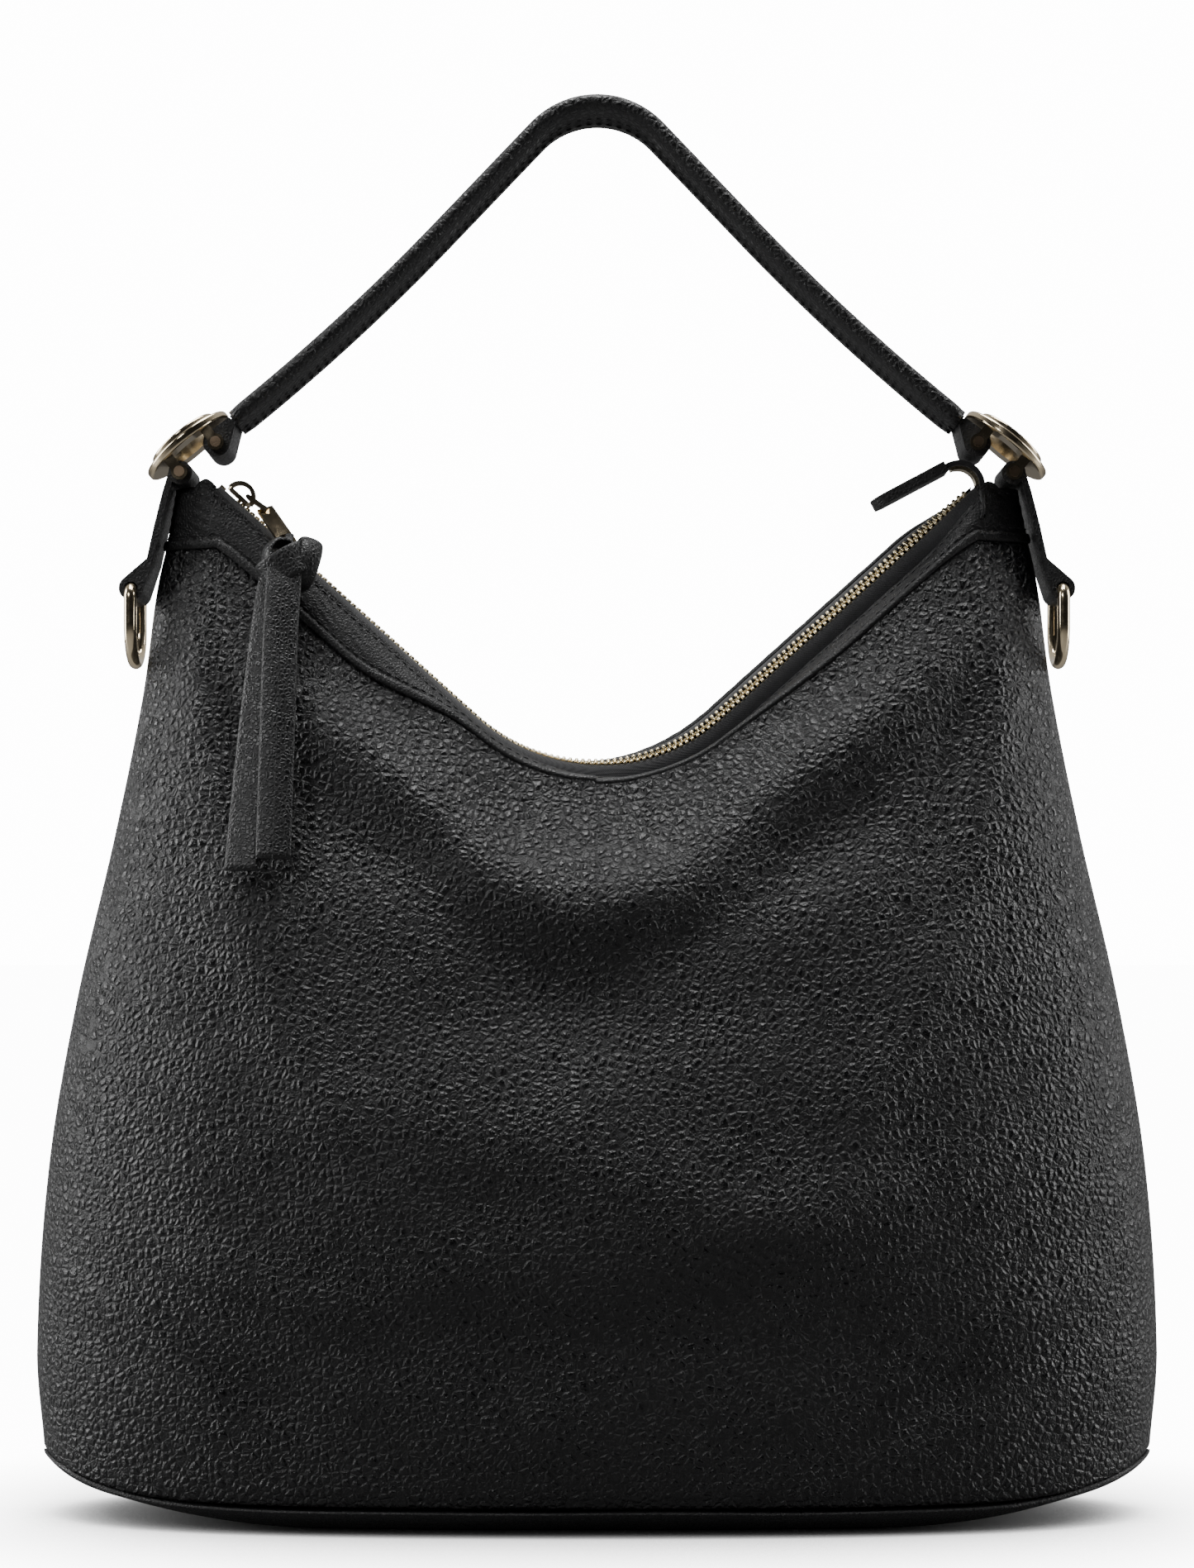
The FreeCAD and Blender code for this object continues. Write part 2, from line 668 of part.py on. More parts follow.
def zip_slider():
    """Upper and lower shells round the chain, with the bridge that holds the pull."""
    gap, wall, corner = dim("slider_clearance"), dim("slider_wall"), 0.7
    half_length, half_wide = dim("slider_length") / 2, dim("slider_width") / 2
    channel = dim("tooth_reach") + gap
    roof = dim("tooth_depth") / 2 + gap
    outside = roof + wall
    slot = dim("tape_thickness") / 2 + dim("tape_slot")
    shells = []
    for way in (1, -1):
        block = Part.makeBox(2 * half_length, 2 * half_wide, outside - slot,
                             Vector(-half_length, -half_wide, slot if way > 0 else -outside))
        hollow = Part.makeBox(BIG, 2 * channel, 2 * roof, Vector(-BIG / 2, -channel, -roof))
        shell = block.cut(hollow)
        corners = [edge for edge in shell.Edges
                   if abs(edge.BoundBox.ZLength - (outside - slot)) < 1e-6]
        shells.append(shell.makeFillet(corner, corners))
    foot, width = outside - 0.4, dim("bridge_width")
    arch = Part.makeCylinder(dim("bridge_radius"), width, Vector(0, width / 2, foot),
                             Vector(0, -1, 0))
    arch = arch.cut(Part.makeCylinder(dim("bridge_radius") - dim("bridge_thickness"), BIG,
                                      Vector(0, BIG / 2, foot), Vector(0, -1, 0)))
    arch = arch.common(Part.makeBox(BIG, BIG, BIG, Vector(-BIG / 2, -BIG / 2, foot)))
    shells[0] = shells[0].fuse(arch).removeSplitter()
    thing = doc.addObject("Part::Feature", "zip_slider")
    thing.Shape = Part.makeCompound([shells[0], shells[1]])
    thing.Placement = slider_placement()
    node(thing, "zip_slider")
    return outside


def pull_frame(outside):
    """Where the pull hangs on the bridge, the way its bar points, and the bar's lower end."""
    place_of_slider = slider_placement()
    pivot = place_of_slider.multVec(Vector(2.3, 0, outside + 1.25))
    towards = Vector(0.45, -0.62, -0.64).normalize()
    tip_up = math.radians(7.0)
    level = Vector(math.cos(slope - tip_up), 0, -math.sin(slope - tip_up))
    start = pivot + level * dim("pull_eye")
    strip = start + towards * (dim("pull_length") - dim("pull_strip") / 2)
    return pivot, level, start, towards, strip


def pull_side(towards):
    """Across the pull's bar, as level as the bar's direction allows."""
    return (Vector(1, 0, 0) - towards * towards.x).normalize()


def zip_pull(outside):
    """A cast pull: an eye with a cross bar under the bridge, and a flat bar with a slot."""
    pivot, level, start, towards, strip = pull_frame(outside)
    bar_radius, cheek = dim("pull_thickness") / 2, 1.3
    half_gap = dim("bridge_width") / 2 + 0.55
    eye_width = 2 * (half_gap + cheek)
    eye = Part.makeCylinder(bar_radius, eye_width, Vector(0, -eye_width / 2, 0), Vector(0, 1, 0))
    length = dim("pull_eye")
    for side in (-1, 1):
        low = half_gap if side > 0 else -half_gap - cheek
        eye = eye.fuse(Part.makeBox(length + dim("pull_cross"), cheek, 2 * bar_radius,
                                    Vector(0, low, -bar_radius)))
    eye = eye.fuse(Part.makeBox(dim("pull_cross"), eye_width, 2 * bar_radius,
                                Vector(length, -eye_width / 2, -bar_radius)))
    eye = eye.transformed(turned(level, Vector(0, 1, 0), level.cross(Vector(0, 1, 0)), pivot)
                          .toMatrix())
    wide = pull_side(towards)
    width, thickness = dim("pull_width"), dim("pull_thickness")
    first = 0.6
    bar = Part.makeBox(dim("pull_length") - first, width, thickness,
                       Vector(first, -width / 2, -thickness / 2))
    corners = [edge for edge in bar.Edges if abs(edge.BoundBox.ZLength - thickness) < 1e-6
               and edge.BoundBox.XMin > first + 1]
    bar = bar.makeFillet(1.2, corners)
    slot_length, slot_width = dim("pull_slot"), width - 2 * dim("pull_strip")
    slot = Part.makeBox(slot_length, slot_width, BIG,
                        Vector(dim("pull_length") - dim("pull_strip") - slot_length,
                               -slot_width / 2, -BIG / 2))
    bar = bar.cut(slot)
    bar = bar.transformed(turned(towards, wide, towards.cross(wide), start).toMatrix())
    feature("zip_pull", eye.fuse(bar).removeSplitter())
    return strip, towards


def pull_thong(end, towards):
    """A thong looped through the pull's slot, knotted, with two flat tails."""
    loop = Part.makeTorus(dim("loop_radius"), 1.0, end, pull_side(towards))
    knot_middle = end + Vector(0.6, -7.7, -7.3)
    knot = Part.makeSphere(dim("knot_radius"))
    squash = Matrix()
    squash.scale(1.1, 0.85, 1.0)
    knot = knot.transformGeometry(squash)
    knot.translate(knot_middle)
    tails = []
    width, thickness = dim("thong_width"), dim("thong_thickness")
    for length, sideways, forwards, shift in (
            (dim("front_tail"), 0.9, 24.0, Vector(1.5, -2.6, -5)),
            (dim("rear_tail"), -8.5, 25.0, Vector(-3.0, 0.6, -5))):
        strip = Part.makeBox(width, thickness, length, Vector(-width / 2, -thickness / 2, -length))
        down = Vector(sideways, -forwards, -length).normalize()
        side_axis = Vector(1, 0, 0) - down * down.x
        side_axis.normalize()
        frame = turned(side_axis, (down * -1).cross(side_axis), down * -1, knot_middle + shift)
        tails.append(strip.transformed(frame.toMatrix()))
    feature("pull_thong", knot.fuse([loop] + tails).removeSplitter())


def tail_root():
    """Where the loose end of the zip comes out of the right yoke."""
    return Vector(zip_end_x + 2.2, 0, zip_end_z - 0.3)


def zip_tail():
    """The loose end of the zip: it curls up out of the right yoke and lies back to the left."""
    root = tail_root()
    radius, width, thick = dim("tail_radius"), dim("tail_width"), dim("tail_thickness")
    middle = root + Vector(-radius, 0, 0)
    end_angle = math.radians(dim("tail_sweep"))

    def on_curl(reach, angle):
        return middle + Vector(math.cos(angle) * reach, -width / 2, math.sin(angle) * reach)

    rims = []
    for reach in (radius + thick / 2, radius - thick / 2):
        rims.append(Part.Arc(on_curl(reach, 0), on_curl(reach, end_angle / 2),
                             on_curl(reach, end_angle)).toShape())
    ends = [Part.makeLine(on_curl(radius + thick / 2, angle), on_curl(radius - thick / 2, angle))
            for angle in (0, end_angle)]
    outline = Part.Wire([rims[0], ends[1], rims[1], ends[0]])
    tape = Part.Face(outline).extrude(Vector(0, width, 0))
    up = Vector(math.cos(end_angle), 0, math.sin(end_angle))
    heading = Vector(-up.z, 0, up.x)
    tip = middle + up * radius
    frame = turned(heading, up.cross(heading), up, tip)
    inside_tab = 8.0
    strip = Part.makeBox(inside_tab, width, thick, Vector(0, -width / 2, -thick / 2))
    feature("zip_tail_tape", tape.fuse(strip.transformed(frame.toMatrix())).removeSplitter())
    teeth = []
    pairs, step = 9, math.radians(12)
    long_way, broad_way, deep_way, apart = 1.2, 2.2, 1.1, 1.3
    for i in range(pairs):
        angle = (i + 1) * step
        out = Vector(math.cos(angle), 0, math.sin(angle))
        forward = Vector(-out.z, 0, out.x)
        spot = middle + out * (radius - thick / 2 - deep_way / 2 - 0.05)
        for shift in (-apart, apart):
            block = Part.makeBox(long_way, broad_way, deep_way,
                                 Vector(-long_way / 2, shift - broad_way / 2, -deep_way / 2))
            teeth.append(block.transformed(turned(forward, out.cross(forward), out, spot)
                                           .toMatrix()))
    feature("zip_tail_teeth", Part.makeCompound(teeth))
    length, tab, play = dim("tail_tab_length"), 3.4, 0.15
    wide = width + 4.0
    base = Part.makeBox(length, wide, tab, Vector(1.0, -wide / 2, -tab / 2))
    corners = [edge for edge in base.Edges
               if abs(edge.BoundBox.ZLength - tab) < 1e-6 and edge.BoundBox.XMin > length / 2]
    base = base.makeFillet(5.0, corners)
    room = Part.makeBox(inside_tab + 2 * play, width + 2 * play, thick + 2 * play,
                        Vector(0, -width / 2 - play, -thick / 2 - play))
    stop_long, stop_wide, stop_deep = 2.6, 5.0, 1.8
    stop = Part.makeBox(stop_long, stop_wide, stop_deep,
                        Vector(inside_tab + 4 * play, -stop_wide / 2, -stop_deep / 2))
    stop_room = Part.makeBox(stop_long + 4 * play, stop_wide + 2 * play, stop_deep + 2 * play,
                             Vector(inside_tab + play, -stop_wide / 2 - play,
                                    -stop_deep / 2 - play))
    base = base.cut(room.fuse(stop_room))
    feature("zip_tail_tab", base.transformed(frame.toMatrix()))
    feature("zip_end_stop", stop.transformed(frame.toMatrix()))


# ---------------------------------------------------------------- rings, pins and straps
def pin_places(side):
    """The lower and the upper pin of one ring."""
    lower = Vector(side * (top_half - 2.6), 0, zip_end_z + 3.1)
    tilt = math.radians(dim("ring_tilt"))
    upper = lower + Vector(-side * math.cos(tilt), 0, math.sin(tilt)) * dim("pin_spread")
    return lower, upper


def ring_placement(side):
    """Local X runs from the lower pin to the upper, and local Z out of the ring's show face."""
    lower, upper = pin_places(side)
    link = (upper - lower).normalize()
    out = Vector(side * abs(link.z), 0, abs(link.x))
    middle = (lower + upper) * 0.5 + out * dim("ear_drop")
    return turned(link, out.cross(link), out, middle)


def ring(name, side):
    """A plain stepped ring with two pairs of ears."""
    body = doc.addObject("PartDesign::Body", name + "_body")
    plate = sketch_on(body, "XY_Plane", name + "_plate")
    circle(plate, "Dimensions.ring_radius")
    circle(plate, "Dimensions.ring_bore")
    pad(body, plate, "Dimensions.ring_thickness")
    step = sketch_on(body, "XY_Plane", name + "_step")
    circle(step, "Dimensions.step_radius")
    circle(step, "Dimensions.ring_bore")
    pad(body, step, "Dimensions.ring_thickness + Dimensions.step_height")
    fillet(body, round_edges(body, dim("ring_radius")), "0.8")
    fillet(body, [edge for edge in round_edges(body, dim("step_radius"))
                  if body.Tip.Shape.Edges[int(edge[4:]) - 1].BoundBox.ZMin
                  > dim("ring_thickness") + 0.5], "0.7")
    for way in (-1, 1):
        necks = sketch_on(body, "XZ_Plane", name + "_ears%d" % (way + 1))
        x = "%d * Dimensions.pin_spread / 2" % way
        rectangle(necks, "3.4", "Dimensions.ear_drop + 1", x, "(1 - Dimensions.ear_drop) / 2")
        pad(body, necks, "2 * (Dimensions.ear_inner + Dimensions.ear_thickness)", midplane=True)
    eyes = sketch_on(body, "XZ_Plane", name + "_eyes")
    for way in (-1, 1):
        circle(eyes, "Dimensions.eye_radius", "%d * Dimensions.pin_spread / 2" % way,
               "-Dimensions.ear_drop")
    pad(body, eyes, "2 * (Dimensions.ear_inner + Dimensions.ear_thickness)", midplane=True)
    middle = sketch_on(body, "XZ_Plane", name + "_gap")
    rectangle(middle, "2 * Dimensions.ring_radius", "2 * Dimensions.ear_drop", "0",
              "-Dimensions.ear_drop - 0.001")
    pocket(body, middle, "2 * Dimensions.ear_inner", midplane=True)
    over = sketch_on(body, "XY_Plane", name + "_clear")
    circle(over, "Dimensions.ring_bore")
    pocket(body, over, "30", midplane=True)
    bores = sketch_on(body, "XZ_Plane", name + "_bores")
    for way in (-1, 1):
        circle(bores, "Dimensions.pin_radius + Dimensions.ear_clearance",
               "%d * Dimensions.pin_spread / 2" % way, "-Dimensions.ear_drop")
    pocket(body, bores, "60", midplane=True)
    body.Placement = ring_placement(side)
    node(body, name)


def ring_pins():
    for name, side in SIDES:
        for level, place_of_pin in zip(("strap", "handle"), pin_places(side)):
            pin = doc.addObject("Part::Cylinder", "%s_pin_%s" % (level, name))
            pin.setExpression("Radius", "Dimensions.pin_radius")
            pin.setExpression("Height", "2 * (Dimensions.ear_inner + Dimensions.ear_thickness) + 0.8")
            length = 2 * (dim("ear_inner") + dim("ear_thickness")) + 0.8
            pin.Placement = Placement(place_of_pin + Vector(0, length / 2, 0),
                                      Rotation(Vector(1, 0, 0), 90))
            node(pin, "%s_pin_%s" % (level, name))


def dring_bar(side):
    """Middle of the D-ring's bar, just outside the body's side."""
    lower, upper = pin_places(side)
    z = lower.z - dim("strap_drop")
    loop = dim("dring_wire") + dim("pin_clearance") + dim("strap_thickness")
    return Vector(side * (half_width_at(z) + loop + dim("dring_clearance")), 0, z)


def teardrop(centre, radius, far, thickness, bore, width):
    """A leather loop round a bar with its two plies drawn together towards a far point."""
    away = far - centre
    distance = away.Length
    away.normalize()
    cross = Vector(0, 1, 0).cross(away)
    swing = math.acos(min((radius - thickness / 2) / distance, 1))
    corners = []
    for way in (1, -1):
        on_loop = centre + (away * math.cos(swing) + cross * (way * math.sin(swing))) * radius
        corners.append(on_loop)
    start = corners[0]
    points = [start, far + cross * (thickness / 2), far - cross * (thickness / 2), corners[1]]
    back = centre - away * (radius * 0.2)
    points.append(back)
    wedge = Part.Face(Part.makePolygon([p - Vector(0, width / 2, 0) for p in points + [start]]))
    solid = wedge.extrude(Vector(0, width, 0))
    drum = Part.makeCylinder(radius, width, centre - Vector(0, width / 2, 0), Vector(0, 1, 0))
    hole = Part.makeCylinder(bore, width + 4, centre - Vector(0, width / 2 + 2, 0),
                             Vector(0, 1, 0))
    return solid.fuse(drum).removeSplitter(), hole


def side_straps():
    """Each strap loops round the ring's lower pin and round the D-ring's bar."""
    width, thick = dim("strap_width"), dim("strap_thickness")
    for name, side in SIDES:
        lower, upper = pin_places(side)
        bar = dring_bar(side)
        pin_bore = dim("pin_radius") + dim("pin_clearance")
        bar_bore = dim("dring_wire") + dim("pin_clearance")
        out = 0.45 + thick / 2
        high = Vector(side * (half_width_at(yoke_top - 3) + out), 0, yoke_top - 3)
        waist = Vector(side * (half_width_at(yoke_seam) + out), 0, yoke_seam)
        low = Vector(side * (half_width_at(bar.z + 9) + out), 0, bar.z + 9)
        start = lower + Vector(side * (pin_bore + thick / 2), 0, 0)
        top = Part.makeCylinder(pin_bore + thick, width, lower - Vector(0, width / 2, 0),
                                Vector(0, 1, 0))
        top_hole = Part.makeCylinder(pin_bore, width + 4, lower - Vector(0, width / 2 + 2, 0),
                                     Vector(0, 1, 0))
        end, end_hole = teardrop(bar, bar_bore + thick * 0.9, low, thick, bar_bore, width)
        middle = Vector(0, width / 2, 0)
        run = None
        for a, b in ((start, high), (high, waist), (waist, low)):
            along = (b - a).normalize()
            cross = Vector(0, 1, 0).cross(along) * (thick / 2)
            face = Part.Face(Part.makePolygon([a + cross - middle, b + cross - middle,
                                               b - cross - middle, a - cross - middle,
                                               a + cross - middle]))
            piece = face.extrude(middle * 2)
            run = piece if run is None else run.fuse(piece)
        for joint in (high, waist, low):
            run = run.fuse(Part.makeCylinder(thick / 2, width, joint - middle, Vector(0, 1, 0)))
        strap = run.fuse([top, end]).cut(top_hole.fuse(end_hole)).removeSplitter()
        feature("side_strap_" + name, strap)


def d_rings():
    """A D-ring hangs from each strap: a straight bar, two legs and a half-round."""
    for name, side in SIDES:
        body = doc.addObject("PartDesign::Body", "d_ring_%s_body" % name)
        bend, leg, corner = dim("dring_radius"), dim("dring_leg"), 3.4
        path = sketch_on(body, "YZ_Plane", "d_ring_%s_path" % name)
        left, right = Vector(-bend + corner, 0, 0), Vector(bend - corner, 0, 0)
        quarter = math.pi / 2
        path.addGeometry(Part.LineSegment(Vector(0, 0, 0), right), False)
        path.addGeometry(Part.ArcOfCircle(Part.Circle(Vector(bend - corner, -corner, 0),
                                                      Vector(0, 0, 1), corner), 0, quarter), False)
        path.addGeometry(Part.LineSegment(Vector(bend, -corner, 0), Vector(bend, -leg, 0)), False)
        path.addGeometry(Part.ArcOfCircle(Part.Circle(Vector(0, -leg, 0), Vector(0, 0, 1), bend),
                                          2 * quarter, 4 * quarter), False)
        path.addGeometry(Part.LineSegment(Vector(-bend, -leg, 0), Vector(-bend, -corner, 0)), False)
        path.addGeometry(Part.ArcOfCircle(Part.Circle(Vector(-bend + corner, -corner, 0),
                                                      Vector(0, 0, 1), corner),
                                          quarter, 2 * quarter), False)
        path.addGeometry(Part.LineSegment(left, Vector(0, 0, 0)), False)
        section = sketch_on(body, "XZ_Plane", "d_ring_%s_section" % name)
        circle(section, "Dimensions.dring_wire")
        pipe = body.newObject("PartDesign::AdditivePipe", "d_ring_%s_pipe" % name)
        pipe.Profile = section
        pipe.Spine = (path, ["Edge%d" % (i + 1) for i in range(7)])
        doc.recompute()
        body.Placement = Placement(dring_bar(side), Rotation())
        node(body, "d_ring_" + name)


# ---------------------------------------------------------------- the handle
def handle_end(side):
    lower, upper = pin_places(side)
    return upper + Vector(-side * dim("handle_end_inset"), 0, dim("handle_end_lift"))


def handle_path(shorten=0.0):
    """The handle's middle line: a round top, straight shoulders and slowly turning legs."""
    end = handle_end(1)
    lower, upper = pin_places(1)
    thick = dim("handle_thickness")
    top = upper.z + dim("handle_rise") - thick / 2
    bend = dim("apex_radius") - thick / 2
    turn = math.radians(dim("leg_turn"))
    chord = 2 * dim("leg_radius") * math.sin(turn / 2)
    drop = top - end.z

    def shoulder(angle):
        return (end.x - bend * math.sin(angle) - chord * math.cos(angle - turn / 2)) / math.cos(angle)

    def miss(angle):
        return (bend * (1 - math.cos(angle)) + shoulder(angle) * math.sin(angle)
                + chord * math.sin(angle - turn / 2) - drop)

    angle = bisect(miss, math.radians(15), math.radians(70))
    a = Vector(bend * math.sin(angle), 0, top - bend * (1 - math.cos(angle)))
    b = a + Vector(math.cos(angle), 0, -math.sin(angle)) * shoulder(angle)
    final = angle - turn
    middle_way = b + Vector(math.cos(angle - turn / 4), 0, -math.sin(angle - turn / 4)) \
        * (2 * dim("leg_radius") * math.sin(turn / 4))
    edges = []
    apex_half = Vector(bend * math.sin(angle / 2), 0, top - bend * (1 - math.cos(angle / 2)))
    edges.append(Part.Arc(Vector(0, 0, top), apex_half, a).toShape())
    edges.append(Part.LineSegment(a, b).toShape())
    edges.append(Part.Arc(b, middle_way, end).toShape())
    return edges, Vector(math.cos(final), 0, -math.sin(final)), end


def rounded_section(width, thick, centre):
    """A flat section with round edges, standing across the top of the handle."""
    corner = min(thick * 0.42, width * 0.2)
    half_w, half_t = width / 2, thick / 2
    points = []
    for y, z, start in ((half_w - corner, half_t - corner, 0), (-half_w + corner, half_t - corner, 90),
                        (-half_w + corner, -half_t + corner, 180),
                        (half_w - corner, -half_t + corner, 270)):
        arc = []
        for turn in (start, start + 45, start + 90):
            angle = math.radians(turn)
            arc.append(centre + Vector(0, y + corner * math.cos(angle), z + corner * math.sin(angle)))
        points.append(arc)
    edges = []
    for i, arc in enumerate(points):
        edges.append(Part.Arc(*arc).toShape())
        edges.append(Part.LineSegment(arc[2], points[(i + 1) % 4][0]).toShape())
    return Part.Wire(Part.__sortEdges__(edges))


def handle():
    """A leather cover sewn round a core, with a tab out of each end that loops on the ring's pin."""
    edges, heading, end = handle_path()
    start = edges[0].Vertexes[0].Point
    start = start if abs(start.x) < 1e-6 else edges[0].Vertexes[1].Point
    spine = Part.Wire(edges)
    wall, gap = dim("cover_thickness"), dim("core_clearance")
    width, thick = dim("handle_width"), dim("handle_thickness")

    def swept(shrink):
        section = rounded_section(width - 2 * shrink, thick - 2 * shrink, start)
        half = spine.makePipeShell([section], True, False)
        other = half.mirror(Vector(0, 0, 0), Vector(1, 0, 0))
        return half.fuse(other).removeSplitter()

    outer, cavity, core = swept(0.0), swept(wall), swept(wall + gap)
    feature("handle_cover", outer.cut(cavity))
    tuck = 14.0
    cutters = []
    for name, side in SIDES:
        point, way = handle_end(side), Vector(side * heading.x, 0, heading.z)
        frame = turned(way, Vector(0, 1, 0), way.cross(Vector(0, 1, 0)), point)
        box = Part.makeBox(BIG, BIG, BIG, Vector(-tuck - 1.0, -BIG / 2, -BIG / 2))
        cutters.append(box.transformed(frame.toMatrix()))
    feature("handle_core", core.cut(cutters))
    tab = dim("tab_thickness")
    for name, side in SIDES:
        lower, upper = pin_places(side)
        point, way = handle_end(side), Vector(side * heading.x, 0, heading.z)
        slack = dim("sway_clearance") if side > 0 else dim("pin_clearance")
        bore = dim("pin_radius") + slack
        loop = dim("pin_radius") + dim("sway_clearance") + dim("tab_thickness") * 0.7
        width_of_tab = dim("strap_width")
        tail, hole = teardrop(upper, loop, point + way * 0.5, tab, bore, width_of_tab)
        middle = Vector(0, width_of_tab / 2, 0)
        inside = point - way * tuck
        cross = Vector(0, 1, 0).cross(way) * (tab / 2)
        mouth = point + way * 0.5
        face = Part.Face(Part.makePolygon([inside + cross - middle, mouth + cross - middle,
                                           mouth - cross - middle, inside - cross - middle,
                                           inside + cross - middle]))
        feature("handle_tab_" + name,
                tail.fuse(face.extrude(middle * 2)).cut(hole).removeSplitter())


# ---------------------------------------------------------------- build, check and write
leather_panels()
base_board()
lining()
zip_tapes()
zip_teeth()
zip_stops()
pull_height = zip_slider()
thong_place, thong_way = zip_pull(pull_height)
pull_thong(thong_place, thong_way)
zip_tail()
for ring_name, ring_side in SIDES:
    ring("ring_" + ring_name, ring_side)
ring_pins()
side_straps()
d_rings()
handle()
doc.recompute()

for thing in doc.Objects:
    bad = [state for state in thing.State if state in ("Invalid", "Error")]
    if bad:
        raise RuntimeError("%s is %s" % (thing.Label, bad))
for thing in NODES:
    if thing.Shape.isNull() or not thing.Shape.isValid():
        raise RuntimeError("%s has no valid shape" % thing.Label)
os.makedirs("parts", exist_ok=True)
for thing in NODES:
    thing.Shape.exportStep("parts/%s.step" % thing.Label)
    box = thing.Shape.BoundBox
    print("%-18s solids %3d volume %10.1f  x %7.1f %7.1f  y %6.1f %6.1f  z %6.1f %6.1f" % (
        thing.Label, len(thing.Shape.Solids), thing.Shape.Volume, box.XMin, box.XMax,
        box.YMin, box.YMax, box.ZMin, box.ZMax))
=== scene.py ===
import math

import bmesh
import bpy
import numpy as np
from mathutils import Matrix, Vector


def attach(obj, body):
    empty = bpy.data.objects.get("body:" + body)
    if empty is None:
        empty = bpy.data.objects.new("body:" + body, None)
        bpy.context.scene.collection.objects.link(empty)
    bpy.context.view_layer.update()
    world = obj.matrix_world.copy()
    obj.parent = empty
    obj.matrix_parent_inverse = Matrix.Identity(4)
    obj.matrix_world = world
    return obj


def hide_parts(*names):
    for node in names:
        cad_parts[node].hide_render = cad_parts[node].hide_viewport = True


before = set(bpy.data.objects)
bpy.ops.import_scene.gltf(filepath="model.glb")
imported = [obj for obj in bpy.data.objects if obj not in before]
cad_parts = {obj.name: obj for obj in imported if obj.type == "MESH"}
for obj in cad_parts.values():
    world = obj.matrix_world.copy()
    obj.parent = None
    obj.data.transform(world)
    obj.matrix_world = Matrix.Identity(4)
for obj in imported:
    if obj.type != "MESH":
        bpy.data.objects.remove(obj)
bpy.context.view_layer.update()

MM = 0.001

# ---------------------------------------------------------------- the bag's own sizes, in mm
HALF_WIDTH, TOP_HALF = 180.0, 135.5
ZIP_END_X, ZIP_END_Z = 121.5, 329.2
LOW_Z, ROUND = 240.0, 58.3
CORNER_Z, YOKE_TOP, YOKE_SEAM = 22.5, 328.7, 315.7
MOUTH_HALF, MOUTH_DROP = 7.6, 1.7
BASE_HALF_DEPTH, OPEN_HALF_DEPTH = 50.0, 15.0
FULLNESS = 0.25       # how square the plan of the body is, 0 is an ellipse
BELLY = 7.0           # how far the front bulges between base and opening
SEAM_Z, CORNER_RISE, CORNER_POWER = 9.0, 13.5, 9
BASE_FLAT, BASE_END_LIFT, BASE_FULLNESS = 85.0, 20.0, 10
BASE_UNDER_SEAM = 1.95
PANEL_SKIN, BAND_SKIN, BASE_SKIN, TAPE_SKIN = 1.5, 1.4, 1.8, 0.45
SIDE_GAP = 0.07       # front and back pieces each stop this far from the middle plane
TOOTH_PITCH = 2.09
LEAN = 46.0           # degrees that the slack leather lets the zip lean forwards on the right

_reach = math.hypot(ZIP_END_X, ROUND - (ZIP_END_Z - LOW_Z))
SLOPE = (math.asin(ROUND / _reach)
         - math.atan2(ROUND - (ZIP_END_Z - LOW_Z), ZIP_END_X))
ROUND_X = ROUND * math.sin(SLOPE)
RUN = (ZIP_END_X - ROUND_X) / math.cos(SLOPE)
ROUND_LENGTH = 2 * ROUND * SLOPE
ZIP_LENGTH = 2 * RUN + ROUND_LENGTH

# Share of the side's taper at each share of the height, from the base's corner to the yoke.
SIDE_OUTLINE = [(0.0, 0.95), (0.1, 1.0), (0.3, 0.91), (0.475, 0.71), (0.65, 0.44), (0.80, 0.24),
                (0.92, 0.13), (1.0, 0.0)]


def smooth_curve(points, x):
    last = len(points) - 1
    i = 0
    while i < last - 1 and x > points[i + 1][0]:
        i += 1
    x0, y0 = points[i]
    x1, y1 = points[i + 1]
    width = x1 - x0

    def slope(k):
        low, high = max(k - 1, 0), min(k + 1, last)
        return (points[high][1] - points[low][1]) / (points[high][0] - points[low][0])

    s = (x - x0) / width
    return ((2 * s ** 3 - 3 * s * s + 1) * y0 + (s ** 3 - 2 * s * s + s) * width * slope(i)
            + (3 * s * s - 2 * s ** 3) * y1 + (s ** 3 - s * s) * width * slope(i + 1))


def ease(share):
    held = min(max(share, 0.0), 1.0)
    return held * held * (3 - 2 * held)


def half_width_at(z):
    share = min(max((z - CORNER_Z) / (YOKE_TOP - CORNER_Z), 0), 1)
    return TOP_HALF + (HALF_WIDTH - TOP_HALF) * smooth_curve(SIDE_OUTLINE, share)


def plan_depth(angle):
    return math.cos(angle) * (1 + FULLNESS * math.sin(angle) ** 2)


def base_seam_z(angle):
    return SEAM_Z + CORNER_RISE * abs(math.sin(angle)) ** CORNER_POWER


def zip_height(x):
    distance = abs(x)
    if distance < ROUND_X:
        return LOW_Z + ROUND - math.sqrt(ROUND ** 2 - distance ** 2)
    return ZIP_END_Z - (ZIP_END_X - distance) * math.tan(SLOPE)


